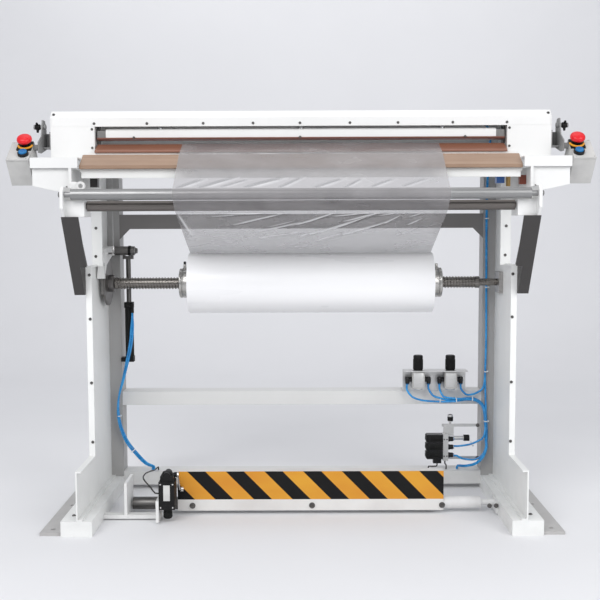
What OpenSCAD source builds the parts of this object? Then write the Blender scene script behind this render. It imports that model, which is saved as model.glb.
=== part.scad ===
// Pneumatic impulse sealer for film fed from a roll: a floor-standing frame,
// a long sealing jaw under a bridge-shaped head, a braked mandrel and a treadle.
// X runs along the jaw, Y from the operator to the back, Z up from the floor.

/* [Frame] */
// Clear width between the two feet
foot_gap = 1060; // [1000:10:1120]
// Width of a foot tube
foot_w = 80; // [70:1:90]
// Height of a foot tube
foot_h = 40; // [34:1:46]
// Length of a foot, front to back
foot_len = 500; // [480:10:540]
// Wall of the welded tubes
tube_wall = 3; // [2:0.5:4]
// Depth of a rear post and of the rear cross members
post_d = 60; // [50:1:62]
// Thickness of the side plates
plate_t = 4; // [3:0.5:6]
// Width of the folded edges of the side plates
flange_w = 16; // [12:1:28]
// Height of the low shoe of a side plate above the foot
shoe_h = 128; // [100:1:160]
// Distance of the leg's front edge in front of the centre
leg_front = 85; // [70:1:95]
// Height of the leg's step above the foot
leg_step = 637; // [600:1:660]
// Height of the lower crossbar above the floor
crossbar_z = 254; // [220:1:300]
// Height of the lower crossbar's section
crossbar_h = 40; // [30:1:50]
// Height of the base beam above the floor
base_beam_z = 14; // [6:1:20]
// Height of the upper rear beam's section
rear_beam_h = 42; // [30:1:50]
// Height of the upper rear beam above the floor
rear_beam_z = 773; // [740:1:790]

/* [Floor plates] */
// Width of a floor plate beside the foot
anchor_w = 56; // [44:1:60]
// Thickness of a floor plate
anchor_t = 8; // [6:1:12]
// Length of a floor plate
anchor_len = 480; // [460:1:480]
// Radius of an anchor hole
anchor_r = 6; // [4:0.5:8]
// Distance between neighbouring anchor holes
anchor_pitch = 210; // [150:1:215]

/* [Sealing jaw] */
// Height of the sealing line above the floor
seal_z = 1002; // [980:1:1040]
// Height of the whole lower jaw, table to sealing line
jaw_stack = 80; // [76:1:90]
// Half the length of the sealing bar
bar_half = 545; // [500:1:545]
// Open gap between the sealing line and the upper jaw's pad
mouth = 10.2; // [8:0.1:12]
// Thickness of the non-stick covers
cover_t = 2; // [1.5:0.5:3]
// Half the length of the upper jaw's beam
beam_half = 522; // [480:1:522]
// Width of a guide block at each end of the upper jaw's beam
guide_w = 23; // [18:1:27]
// Height of the upper jaw's beam
beam_h = 23; // [18:1:25]
// Width of the silicone pad
pad_w = 12; // [8:1:20]
// Width of the heating band
band_w = 8; // [5:1:12]
// Thickness of the heating band under its tape
band_t = 1; // [0.6:0.1:1.5]
// Radius of the lift rods of the upper jaw
rod_r = 8; // [6:0.5:10]
// Distance from the centre to an outer jaw cylinder
rod_x = 380; // [300:1:420]

/* [Head] */
// Half the width of the head
head_half = 668; // [640:1:668]
// Half the width of the head's opening
head_open = 550; // [548:1:552]
// Height of the head's top above the sealing line
head_rise = 87; // [84:1:110]
// Height of the strip above the opening
head_strip = 42; // [36:1:42]
// Depth of the head, front to back
head_d = 200; // [198:1:230]
// Sheet thickness of the head and the shelves
sheet = 3; // [2:0.5:4]
// Height of the chamfered upper edge
head_chamfer = 19; // [10:1:24]
// Height of a side shelf's folded edge
wing_h = 27; // [20:1:32]
// Distance from the centre to a shelf's outer edge
wing_half = 692; // [688:1:700]

/* [Control boxes] */
// Width of a control box
box_w = 58; // [50:1:64]
// Side of a control box's square section
box_s = 82; // [76:1:90]
// Tilt of a control box
box_tilt = 38; // [25:1:42]
// Gap between a shelf and a control box
box_gap = 14; // [8:1:20]
// Radius of the emergency stop's mushroom
stop_r = 20; // [16:0.5:21]
// Travel of the emergency stop
stop_travel = 4; // [3:0.5:5]
// Radius of the start button
start_r = 11; // [8:0.5:12]
// Travel of the start button
start_travel = 3; // [2:0.5:4]

/* [Film and mandrel] */
// Width of the film and its roll
film_w = 686; // [500:1:700]
// Sideways place of the roll's middle
film_x = 26; // [0:1:30]
// Radius of the full roll
roll_r = 85; // [60:1:90]
// Inner radius of the cardboard core
core_r = 38; // [37:0.5:39]
// Wall of the cardboard core
core_wall = 4; // [2:0.5:6]
// Thickness of the flattened film tube
film_t = 0.5; // [0.3:0.1:0.8]
// Gap kept between the film and what it lies on
film_gap = 0.3; // [0.2:0.1:0.5]
// Radius of the mandrel
mandrel_r = 16.5; // [14:0.5:18]
// Radius of the mandrel's journals
journal_r = 10; // [8:0.5:12]
// Height of the mandrel's axis above the floor
mandrel_z = 620; // [580:1:640]
// Distance of the mandrel's axis behind the centre
mandrel_y = 106; // [90:1:120]
// Outer radius of a locking collar
collar_r = 42; // [40:0.5:46]
// Width of a locking collar
collar_w = 27; // [20:1:32]

/* [Guide rollers] */
// Radius of the front roller
front_r = 14; // [12:0.5:18]
// Half the length of the front roller
front_half = 569; // [540:1:575]
// Radius of the second roller
second_r = 13; // [10:0.5:14]
// Radius of the rollers' axle ends
axle_r = 7; // [5:0.5:9]
// Thickness of a roller bracket's ears
ear_t = 8; // [5:0.5:10]

/* [Brake] */
// Radius of the brake disc
disc_r = 62; // [50:1:64]
// Thickness of the brake disc
disc_t = 6; // [4:0.5:7]
// Gap between shoe and disc when the brake is off
shoe_gap = 2; // [1.5:0.1:3]
// Length of the brake's crank arm
crank = 35; // [30:1:40]
// Radius of the brake cylinder
cyl_r = 12.5; // [10:0.5:13]
// Length of the brake cylinder
cyl_len = 175; // [120:1:180]

/* [Treadle] */
// Width of the treadle's panel
treadle_w = 722; // [600:1:730]
// Sideways place of the treadle's middle
treadle_x = 23; // [0:1:26]
// Height of the treadle's panel
treadle_h = 108; // [90:1:120]
// Radius of the treadle's shaft
shaft_r = 17; // [14:0.5:19]
// Height of the treadle's shaft above the floor
shaft_z = 26; // [24:1:32]
// Radius of the treadle's pivot pins
pivot_r = 8; // [6:0.5:10]

/* [Air supply] */
// Height of a regulator's knob
knob_h = 40; // [30:1:44]
// Radius of a regulator's knob
knob_r = 14; // [12:0.5:16]
// Distance between the two regulators
regulator_pitch = 94; // [80:1:100]
// Radius of a single air tube
tube_r = 3; // [2:0.5:4]

/* [Hidden] */
$fn = 48;

// Clearances
fit = 0.05;      // radial clearance of a running fit
slack = 0.3;     // clearance of flat faces that pass each other
seat_gap = 0.1;  // radial clearance of a fixed round seat

// Places that follow from the frame
foot_in = foot_gap / 2;
foot_out = foot_in + foot_w;
rear_y = foot_len / 2;
post_y = rear_y - post_d;
side_out = foot_in + foot_w / 2;
side_in = side_out - plate_t;
shoe_z = foot_h + shoe_h;
step_z = foot_h + leg_step;

// Places that follow from the sealing line
table_z = seal_z - jaw_stack;
pad_z = seal_z + mouth;
head_top = seal_z + head_rise;
strip_z = head_top - head_strip;
wing_top = seal_z - 44;
wing_z = wing_top - wing_h;
head_front = -30;
head_rear = head_front + head_d;
plate_top = head_top - sheet;

// Lower jaw: the profile's steps, in front of the centre and below the sealing line
nose_y = -140;
nose_z = seal_z - 64;
lip_z = seal_z - 73;
brow_y = -98;
brow_z = seal_z - 34;
ledge_y = -54;
ledge_z = seal_z - 26;
jaw_wall = 6;
apron_y = nose_y + 14;
anvil_y = 60;
anvil_side = 19;
table_rear = 80;
anvil_top = seal_z - band_t;

// Upper jaw
cover_z = pad_z + 0.8;
pad_t = 3.8;
beam_z = pad_z + 5.8;
beam_top = beam_z + beam_h;
jaw_front = -22;
jaw_rear = 30;
rod_y = (jaw_front + jaw_rear) / 2;
cylinder_w = 60;
cylinder_d = 32;
cylinder_z = beam_top + 6;
rod_reach = 21;

// Film path
front_c = [-230, seal_z - 141];
second_c = [-190, seal_z - 169];
roll_c = [mandrel_y, mandrel_z];
film_x0 = film_x - film_w / 2;
film_x1 = film_x + film_w / 2;
film_end = 22;

// Roller brackets
ear_out = side_out + 24;
ear_in = side_out - 30;
pocket_z = 876;
bracket_y = -142;
bracket_z = second_c[1] - 27;
bracket_top = front_c[1] + 19;

// Brake
brake_y = 150;
brake_z = mandrel_z + 91;
hub_r = 13;
pin_r = 7;
hub_x0 = -side_in + 3;
hub_x1 = -480;
arm_x0 = -560;
arm_x1 = -544;
crank_x0 = -513;
crank_x1 = -497;
rod_half = 7;
disc_x = -552;
shaft_x0 = -530;
shaft_x1 = 505;
cyl_x = (crank_x0 + crank_x1) / 2;
cyl_y = brake_y + crank;
cyl_top = 560;
eye_y = 75;
eye_z = mandrel_z + 86;
eye_x = -527;

// Control boxes
box_x = wing_half + box_gap;
box_y = -115;
box_z = seal_z - 47;
button_x = box_x + box_w / 2 - 12;
stop_at = 59;
start_at = 23;
collar_h = 12;

// Air supply
reg_x = 387;
reg_y = post_y - 22;
reg_w = 36;
reg_z = crossbar_z + crossbar_h;
shelf_h = 65;
neck_r = 8;

// Treadle
shaft_y = -40;
panel_t = 3;
panel_z = 10;
panel_y = shaft_y - shaft_r - panel_t;
treadle_x0 = treadle_x - treadle_w / 2;
treadle_x1 = treadle_x + treadle_w / 2;
shaft_x_left = -462;
shaft_x_right = 487;
pivot_depth = 30;
switch_x = treadle_x0 - 39;
lever_y = -106;
lever_z = 122;
roller_r = 7;
touch_y = panel_y - slack - roller_r;
touch_z = 72;

// Cord routes, chosen by hand
left_tube_route = [[-493, 167, 529.7], [-493, 167, 515], [-494, 163, 480], [-500, 162, 430],
    [-520, 166, 345], [-538, 170, 277], [-538, 172, 211], [-518, 174, 151], [-486, 178, 106],
    [-462, 188, 78], [-445, 205, 65], [-445, 205, 54.3]];
riser_route = [[492, 174, 284], [515, 177, 287], [536, 179, 305], [541, 180, 345],
    [543, 181, 445], [541, 181, 620], [538, 180, 810], [538, 178, 900],
    [537, 160, 985], [530, 110, 1040], [500, 70, 1066], [450, 20, 1068], [428, 8, 1066],
    [410.4, 8, 1066]];
bundle_route = [[383, 163, 271], [436, 166, 269], [485, 172, 273], [515, 176, 268],
    [537, 178, 245], [543, 178, 200], [543, 176, 150], [534, 172, 112], [510, 172, 94],
    [475, 184, 94], [460, 186, 102], [448.3, 186, 102]];
branch_route = [[542, 169, 182], [536, 168, 160], [520, 170, 146], [495, 174, 134],
    [464, 186, 126], [448.3, 186, 126]];
supply_route = [[543, 167.9, 150], [543, 162, 130], [533, 160, 102], [512, 164, 80],
    [484, 182, 68], [463, 206, 63], [463, 206, 54.3]];
elbow_1_route = [[309, 168, 317.7], [309, 168, 302], [325, 164, 284], [349, 163, 275],
    [382.6, 163, 271]];
elbow_2_route = [[371, 168, 317.7], [371, 168, 304], [382, 160, 286], [400, 156, 279]];
elbow_3_route = [[403, 168, 317.7], [403, 168, 304], [411, 167, 286], [424, 168, 278]];
elbow_4_route = [[465, 168, 317.7], [465, 168, 304], [474, 166, 291], [486, 166, 283]];
switch_cable_route = [[-377.3, -120, 76], [-390, -120, 76], [-405, -100, 86], [-430, -60, 98],
    [-436, 0, 96], [-436, 90, 80], [-434, 160, 66], [-430, 206, 63], [-430, 206, 54.3]];
valve_cable_route = [[400, 188, 77.7], [400, 190, 68], [388, 200, 64], [378, 208, 62],
    [378, 208, 54.3]];
manifold_cable_route = [[424, 188, 85.7], [424, 190, 76], [430, 204, 66], [430, 206, 54.3]];
brake_wire_route = [[eye_x, eye_y, eye_z + 20.3], [eye_x, eye_y, table_z]];

// --- shared shapes ---

// A block from its lowest corner to its highest corner
module block(lo, hi) {
    translate(lo) cube(hi - lo);
}

// The children and their mirror image on the other side of the machine
module both_sides() {
    children();
    mirror([1, 0, 0]) children();
}

// The children, mirrored to the left side when side is -1
module on_side(side) {
    mirror([side < 0 ? 1 : 0, 0, 0]) children();
}

// A profile drawn in Y and Z, run along X
module run_x(x0, x1) {
    translate([x0, 0, 0]) rotate([90, 0, 90]) linear_extrude(x1 - x0) children();
}

// A round bar along X through the point c = [y, z]
module rod_x(x0, x1, c, r) {
    translate([x0, c[0], c[1]]) rotate([0, 90, 0]) cylinder(h = x1 - x0, r = r);
}

// A round bar upwards from the point p
module rod_z(p, h, r) {
    translate(p) cylinder(h = h, r = r);
}

// A round bar along Y from the point p
module rod_y(p, l, r) {
    translate(p) rotate([-90, 0, 0]) cylinder(h = l, r = r);
}

// A rectangular tube along X, closed by whatever it butts against
module tube_x(half, y0, z0, d, h) {
    difference() {
        block([-half, y0, z0], [half, y0 + d, z0 + h]);
        block([-half - 1, y0 + tube_wall, z0 + tube_wall],
            [half + 1, y0 + d - tube_wall, z0 + h - tube_wall]);
    }
}

// A tube of 8 sides swept along a smooth curve through the given points
function smooth(p, i, t) =
    let (a = p[max(i - 1, 0)], b = p[i], c = p[i + 1], d = p[min(i + 2, len(p) - 1)])
    0.5 * (2 * b + (c - a) * t + (2 * a - 5 * b + 4 * c - d) * t * t
        + (3 * b - a - 3 * c + d) * t * t * t);
function curve(p, steps) = concat(
    [for (i = [0 : len(p) - 2], k = [0 : steps - 1]) smooth(p, i, k / steps)], [p[len(p) - 1]]);
function unit(v) = v / norm(v);
module sweep(route, r, steps = 1) {
    sides = 8;
    path = curve(route, steps);
    last = len(path) - 1;
    dirs = [for (i = [0 : last]) unit(path[min(i + 1, last)] - path[max(i - 1, 0)])];
    ref = [0.36, -0.92, 0.15];
    rings = [for (i = [0 : last])
        let (u = unit(cross(dirs[i], ref)), v = cross(dirs[i], u))
        for (k = [0 : sides - 1])
            path[i] + r * (cos(360 * k / sides) * u + sin(360 * k / sides) * v)];
    faces = concat(
        [[for (k = [0 : sides - 1]) k]],
        [for (i = [0 : last - 1], k = [0 : sides - 1])
            let (a = i * sides + k, b = i * sides + (k + 1) % sides)
            each [[a, a + sides, b + sides], [a, b + sides, b]]],
        [[for (k = [0 : sides - 1]) last * sides + sides - 1 - k]]);
    polyhedron(rings, faces, convexity = 4);
}

// --- frame ---

module foot_tubes() color("whitesmoke") both_sides() difference() {
    block([foot_in, -rear_y, 0], [foot_out, rear_y, foot_h]);
    block([foot_in + tube_wall, tube_wall - rear_y, tube_wall],
        [foot_out - tube_wall, rear_y - tube_wall, foot_h - tube_wall]);
}

module floor_plates() color("gainsboro") both_sides() difference() {
    block([foot_out, -anchor_len / 2, 0], [foot_out + anchor_w, anchor_len / 2, anchor_t]);
    for (y = [-anchor_pitch, 0, anchor_pitch])
        rod_z([foot_out + anchor_w / 2, y, -1], anchor_t + 2, anchor_r);
}

// Outline of a side plate: shoe, leg, step and the tongue that carries the head
module side_outline() polygon([
    [-rear_y, foot_h], [rear_y, foot_h], [rear_y, table_z], [head_rear - sheet, table_z],
    [head_rear - sheet, plate_top], [0, plate_top], [0, step_z], [-leg_front, step_z],
    [-leg_front, shoe_z], [-rear_y, shoe_z]]);

// The folded edges of a side plate, seen from the side
module side_flanges() {
    t = plate_t;
    translate([-rear_y, foot_h]) square([post_y + rear_y, t]);
    translate([-rear_y, shoe_z - t]) square([rear_y - leg_front + t, t]);
    translate([-leg_front, shoe_z - t]) square([t, step_z - shoe_z + t]);
    translate([-leg_front, step_z - t]) square([leg_front + t, t]);
}

module side_plate(side) color("whitesmoke") {
    on_side(side) difference() {
        union() {
            run_x(side_in, side_out) side_outline();
            run_x(side_out - flange_w, side_in) side_flanges();
            block([side_out - flange_w - 12, 0, step_z - plate_t], [side_in, plate_t, table_z - plate_t]);
        }
        rod_x(side_in - 1, side_out + 1, roll_c, bearing_r + seat_gap);
    }
    if (side < 0) rod_x(-side_in, hub_x1 + 3, [brake_y, brake_z], pin_r);
}

module left_side_plate() side_plate(-1);
module right_side_plate() side_plate(1);

module rear_posts() color("gainsboro") both_sides() difference() {
    block([foot_in, post_y, foot_h], [side_in, rear_y, table_z]);
    block([foot_in + tube_wall, post_y + tube_wall, foot_h - 1],
        [side_in - tube_wall, rear_y - tube_wall, table_z - tube_wall]);
}

module lower_crossbar() color("whitesmoke") tube_x(foot_in, post_y, crossbar_z, post_d, crossbar_h);

module base_beam() color("whitesmoke") tube_x(foot_in, post_y, base_beam_z, post_d, crossbar_h);

gusset = 30;
module upper_rear_beam() color("lightgray") {
    tube_x(foot_in, post_y, rear_beam_z, post_d, rear_beam_h);
    both_sides() translate([foot_in, post_y + plate_t, rear_beam_z]) rotate([90, 0, 0])
        linear_extrude(plate_t) polygon([[0, 0], [-gusset, 0], [0, -gusset]]);
}

// --- head ---

chamfer_y = 16;

// Outline of the head's cross-section, taken in by d on every side but the bottom
module head_outline(d, z0) polygon([
    [head_front + d, z0], [head_front + d, head_top - head_chamfer - d * 0.45],
    [head_front + chamfer_y + d * 0.5, head_top - d], [head_rear - d, head_top - d],
    [head_rear - d, z0]]);

module head_cover() color("whitesmoke") {
    head_shell();
    head_apron();
}

module head_shell() run_x(-head_half + sheet, head_half - sheet) difference() {
    head_outline(0, strip_z);
    head_outline(sheet, strip_z - 1);
}

// Rear edge of the head, down to the slot where the bag comes out
module head_apron() block([-head_open, head_rear - sheet, seal_z + 6], [head_open, head_rear, strip_z]);

module head_ends() color("whitesmoke") both_sides() {
    run_x(head_half - sheet, head_half) head_outline(0, wing_top);
    for (y = [head_front, head_rear - sheet]) difference() {
        block([head_open, y, wing_top], [head_half - sheet, y + sheet, strip_z]);
        block([head_open - 1, y - 1, wing_top - 1], [side_out, y + sheet + 1, ledge_z]);
    }
    block([head_open, head_front + sheet, ledge_z], [head_open + sheet, -4, strip_z]);
}

wing_front = -150;
skirt_y = -140;
module wings() color("white") both_sides() {
    difference() {
        block([side_out, wing_front, wing_z], [wing_half, head_rear, wing_top]);
        block([side_out - 1, wing_front + sheet, wing_z - 1],
            [wing_half - sheet, head_rear - sheet, wing_top - sheet]);
        for (x = [-5, 5]) rod_z([wing_half - 12 + x, -100, wing_z], wing_h + 1, 2.5);
        block([wing_half - 17, -102.5, wing_z], [wing_half - 7, -97.5, wing_top + 1]);
    }
    translate([0, skirt_y + sheet, 0]) rotate([90, 0, 0]) linear_extrude(sheet) polygon([
        [ear_out, wing_top - sheet], [wing_half - sheet, wing_top - sheet],
        [wing_half - sheet, wing_z - 45], [side_out + 60, wing_z - 58], [ear_out, wing_z - 62]]);
}

// --- lower jaw ---

// The steel beam under the jaw, with its slanted nose
module jaw_outline() polygon([
    [nose_y + cover_t + 12, table_z], [table_rear, table_z], [table_rear, ledge_z],
    [ledge_y, ledge_z], [ledge_y, brow_z - cover_t], [brow_y + 3, brow_z - cover_t],
    [nose_y + cover_t, nose_z], [nose_y + cover_t, lip_z + cover_t],
    [nose_y + cover_t + 12, lip_z + cover_t]]);

module lower_jaw_beam() color("whitesmoke") {
    difference() {
        run_x(-side_in, side_in) jaw_outline();
        block([-side_in - 1, brow_y + 8, table_z + jaw_wall],
            [side_in + 1, table_rear - jaw_wall, brow_z - jaw_wall]);
    }
    block([-side_in, apron_y, table_z - 16], [side_in, apron_y + sheet, table_z]);
    both_sides() run_x(side_in, side_out) intersection() {
        jaw_outline();
        translate([wing_front, table_z]) square([-wing_front, jaw_stack]);
    }
}

// Non-stick sheet folded over the nose, from below its lip to the ledge
module lower_jaw_cover() color("tan") run_x(-side_in - 2, side_in + 2) difference() {
    polygon([[nose_y + cover_t + 12, lip_z], [nose_y + 1, lip_z], [nose_y, lip_z + 1],
        [nose_y, nose_z], [brow_y - 1.6, brow_z - 3.2], [brow_y + 0.6, brow_z - 0.9],
        [brow_y + 3, brow_z], [ledge_y, brow_z], [ledge_y, brow_z - cover_t - 1],
        [nose_y + cover_t + 12, lip_z + cover_t]]);
    jaw_outline();
}

module seal_anvil() color("sienna") run_x(-bar_half, bar_half) polygon([
    [-anvil_y, ledge_z], [-anvil_y, ledge_z + 3], [4 - anvil_y, seal_z - anvil_side],
    [-15, anvil_top], [15, anvil_top], [anvil_y - 4, seal_z - anvil_side],
    [anvil_y, ledge_z + 3], [anvil_y, ledge_z]]);

module heating_band() color("peru")
    block([-bar_half + 8, -band_w / 2, anvil_top], [bar_half - 8, band_w / 2, seal_z]);

module jaw_terminals() {
    color("royalblue") block([side_in - 51, -72, table_z - 30], [side_in - 30, -50, table_z]);
    color("goldenrod") rod_z([side_in - 18, -60, table_z - 38], 38, 6);
    color("saddlebrown") block([side_out + 2, -88, wing_z - 43], [ear_out - 5, -74, wing_z - 19]);
    color("black") block([10 - side_in, -72, table_z - 37], [30 - side_in, -50, table_z]);
}

// --- upper jaw ---

module upper_jaw_beam() color("whitesmoke") run_x(-beam_half, beam_half) polygon([
    [jaw_front, beam_z], [jaw_rear, beam_z], [jaw_rear, beam_top - 2], [jaw_rear - 2, beam_top],
    [jaw_front + 4, beam_top], [jaw_front, beam_top - 4]]);

module upper_jaw_cover() color("saddlebrown") run_x(-bar_half, bar_half) difference() {
    polygon([[jaw_front - 4, beam_z], [jaw_front - 4, cover_z + 2], [jaw_front - 2, cover_z],
        [jaw_rear + 2, cover_z], [jaw_rear + 4, cover_z + 2], [jaw_rear + 4, beam_z]]);
    translate([-pad_w / 2, pad_z]) square([pad_w, pad_t]);
}

module silicone_pad() color("indianred")
    block([-bar_half, -pad_w / 2, pad_z], [bar_half, pad_w / 2, pad_z + pad_t]);

module guide_blocks() color("dimgray") both_sides()
    block([beam_half, jaw_front + 2, beam_z], [beam_half + guide_w, jaw_rear - 2, beam_top - 4]);

module guide_rails() color("gray") both_sides() {
    block([beam_half + guide_w + slack, 0, seal_z + 2], [side_in, jaw_rear, plate_top]);
}

module jaw_cylinders() color("silver") for (x = [-rod_x, 0, rod_x]) difference() {
    block([x - cylinder_w / 2, rod_y - cylinder_d / 2, cylinder_z],
        [x + cylinder_w / 2, rod_y + cylinder_d / 2, plate_top]);
    rod_z([x, rod_y, cylinder_z - 1], rod_reach + 10, rod_r + fit);
}

module jaw_rods() color("silver") for (x = [-rod_x, 0, rod_x])
    rod_z([x, rod_y, beam_top], cylinder_z - beam_top + rod_reach, rod_r);

// --- guide rollers ---

module roller(c, r, half, end) {
    rod_x(-half, half, c, r);
    rod_x(-end, end, c, axle_r);
}

module front_roller() color("silver") roller(front_c, front_r, front_half, ear_out + 4);
module second_roller() color("slategray") roller(second_c, second_r, ear_in - 3, ear_in + ear_t);

module roller_brackets() color("white") both_sides() {
    back = bracket_y - ear_t;
    front = second_c[0] - 26;
    difference() {
        run_x(ear_out - ear_t, ear_out) polygon([
            [bracket_y, bracket_z], [bracket_y, bracket_top], [front_c[0] - 4, bracket_top],
            [front_c[0] - 16, bracket_top - 12], [front_c[0] - 16, bracket_z + 20],
            [front_c[0] + 2, bracket_z]]);
        rod_x(ear_out - ear_t - 1, ear_out + 1, front_c, axle_r + fit);
    }
    difference() {
        run_x(ear_in, ear_in + ear_t) polygon([
            [bracket_y, bracket_z], [bracket_y, bracket_z + 62], [second_c[0] - 6, bracket_z + 62],
            [front, second_c[1] + 12], [front, bracket_z]]);
        rod_x(ear_in - 1, ear_in + ear_t + 1, second_c, axle_r + fit);
    }
    // the plates that close the box: back, bottom and front
    block([ear_in, back, bracket_z], [ear_out, bracket_y, bracket_z + 62]);
    block([ear_in, front, bracket_z], [ear_out, bracket_y, bracket_z + 6]);
    block([ear_in, front, bracket_z], [ear_out, front + 4, bracket_z + 40]);
    // the pocket beside the side plate: outer wall, rear wall and the tab inside the wing
    block([ear_out - ear_t, back, bracket_z], [ear_out, bracket_y, wing_z]);
    block([ear_out - 5, bracket_y - 1, pocket_z], [ear_out, 0, wing_z]);
    block([side_out, -4, pocket_z], [ear_out, 0, wing_z]);
    block([side_out + 2, back + sheet, wing_z - 1], [ear_out, bracket_y, wing_top - sheet]);
}

// A slanted L-shaped strut from the bracket down to the side plate
arm_t = 4;
arm_top_y = -225;
arm_bot_y = -98;
arm_bot_z = step_z - 75;
arm_lean = (arm_bot_y - arm_top_y) / (bracket_z - arm_bot_z);
module support_arms() color("dimgray") both_sides() {
    run_x(side_out, side_out + arm_t) polygon([
        [arm_top_y, bracket_z], [arm_top_y + 60, bracket_z], [-30, arm_bot_z + 40],
        [-30, arm_bot_z], [arm_bot_y, arm_bot_z]]);
    run_x(side_out + arm_t, side_out + 27) arm_edge(arm_bot_z);
    run_x(side_out - 16, side_out) arm_edge(step_z);
}

// The front edge strip of a strut, from its top down to z0
module arm_edge(z0) {
    y0 = arm_top_y + (bracket_z - z0) * arm_lean;
    polygon([[arm_top_y, bracket_z], [arm_top_y + arm_t, bracket_z], [y0 + arm_t, z0], [y0, z0]]);
}

// --- mandrel ---

bearing_r = 26;
bearing_w = 60;
bearing_t = 11;
disc_hub_r = 24;
disc_x1 = disc_x + disc_t;
journal_end = side_out + 14;

module mandrel_shaft() color("silver") {
    rod_x(shaft_x0, shaft_x1, roll_c, mandrel_r);
    rod_x(-journal_end, journal_end, roll_c, journal_r);
}

module mandrel_bearings() color("silver") both_sides() difference() {
    union() {
        block([side_in - bearing_t, mandrel_y - bearing_w / 2, mandrel_z - bearing_w / 2],
            [side_in, mandrel_y + bearing_w / 2, mandrel_z + bearing_w / 2]);
        rod_x(side_in - 1, side_out, roll_c, bearing_r);
        rod_x(side_out, journal_end, roll_c, bearing_r + 19);
    }
    rod_x(side_in - bearing_t - 1, journal_end + 1, roll_c, journal_r + fit);
}

// A collar with its spigot in the core and its clamp stud, for the roll's right end
spigot = 15;
stud_r = 4;
stud_h = 12;
module collar_body() difference() {
    union() {
        rod_x(0, collar_w, roll_c, collar_r);
        rod_x(-spigot, 1, roll_c, core_r - slack);
        rod_z([collar_w / 2, mandrel_y, mandrel_z + collar_r - 2], stud_h + 2, stud_r);
    }
    rod_x(-spigot - 1, collar_w + 1, roll_c, mandrel_r + fit);
}

module left_collar() color("gray") translate([film_x0, 0, 0]) mirror([1, 0, 0]) collar_body();
module right_collar() color("gray") translate([film_x1, 0, 0]) collar_body();

module ring_x(x0, x1, c, r_out, r_in) difference() {
    rod_x(x0, x1, c, r_out);
    rod_x(x0 - 1, x1 + 1, c, r_in);
}

module film_roll() color("white") ring_x(film_x0, film_x1, roll_c, roll_r, core_r + core_wall);
module roll_core() color("burlywood") ring_x(film_x0, film_x1, roll_c, core_r + core_wall, core_r);

// Film path: circles [centre, radius], radius negative where the film passes with
// the centre on its right; then corners of the jaw as circles of radius 0
film_circles = [[roll_c, roll_r, 1], [second_c, second_r, -1], [front_c, front_r, -1],
    [[brow_y, brow_z], 0, -1], [[-15, seal_z], 0, -1]];

// Signed radius of a face of the film: side is 1 for the right face, 0 for the left
function face_r(c, side) =
    c[2] > 0 ? c[1] + film_gap + side * film_t : -(c[1] + film_gap + (1 - side) * film_t);

// Unit normal of the straight stretch between two circles of signed radius
function belt(a, ra, b, rb) =
    let (d = b - a, l = norm(d), u = d / l, s = (ra - rb) / l)
    u * s + [u[1], -u[0]] * sqrt(1 - s * s);

function film_face(side) =
    let (c = film_circles, n = len(c), r = [for (k = c) face_r(k, side)],
        start = belt(c[0][0], r[0], c[1][0], r[1]),
        normals = concat([[start[0] * cos(25) + start[1] * sin(25),
                start[1] * cos(25) - start[0] * sin(25)]],
            [for (i = [0 : n - 2]) belt(c[i][0], r[i], c[i + 1][0], r[i + 1])], [[0, -1]]))
    concat([for (i = [0 : n - 1]) let (m = c[i][1] > 0 ? 10 : 2) for (k = [0 : m])
        let (v = unit(normals[i] * (1 - k / m) + normals[i + 1] * k / m)) c[i][0] + r[i] * v],
        [[film_end, seal_z - r[n - 1]]]);

module film_web() color("lightgray") run_x(film_x0, film_x1)
    polygon(concat(film_face(1), [for (i = [len(film_face(0)) - 1 : -1 : 0]) film_face(0)[i]]));

// --- brake ---

module brake_disc() color("dimgray") difference() {
    union() {
        rod_x(disc_x, disc_x1, roll_c, disc_r);
        rod_x(disc_x1 - 1, shaft_x0, roll_c, disc_hub_r);
    }
    rod_x(disc_x - 1, shaft_x0 + 1, roll_c, journal_r + fit);
}

// Lever: a hub on the welded pin, an arm over the disc with the shoe, and the crank
shoe_r0 = disc_r + shoe_gap;
pivot_c = [brake_y, brake_z];
module brake_lever() color("white") difference() {
    union() {
        rod_x(hub_x0, hub_x1, pivot_c, hub_r);
        run_x(arm_x0, arm_x1) difference() {
            polygon([[brake_y + 8, brake_z - 10], [brake_y + 4, brake_z + 13],
                [40, brake_z + 9], [22, brake_z - 5], [mandrel_y - 56, mandrel_z + 30],
                [mandrel_y - 40, mandrel_z + 54]]);
            translate(roll_c) circle(r = shoe_r0);
        }
        translate([0, 32, 0]) rotate([90, 0, 0]) linear_extrude(10) polygon([
            [-556, brake_z - 2], [-548, brake_z - 2], [-541, mandrel_z + 18], [-563, mandrel_z + 18]]);
        run_x(crank_x0, crank_x1) polygon([[brake_y, brake_z - hub_r], [brake_y, brake_z + hub_r],
            [cyl_y + 8, brake_z + 9], [cyl_y + 8, brake_z - 9]]);
        rod_x(arm_x1 - 1, eye_x + 5, [eye_y, eye_z], 2.5);
    }
    rod_x(hub_x0 - 1, hub_x1 + 1, pivot_c, pin_r + fit);
    rod_x(crank_x0 - 1, crank_x1 + 1, [cyl_y, brake_z], 5);
}

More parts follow.
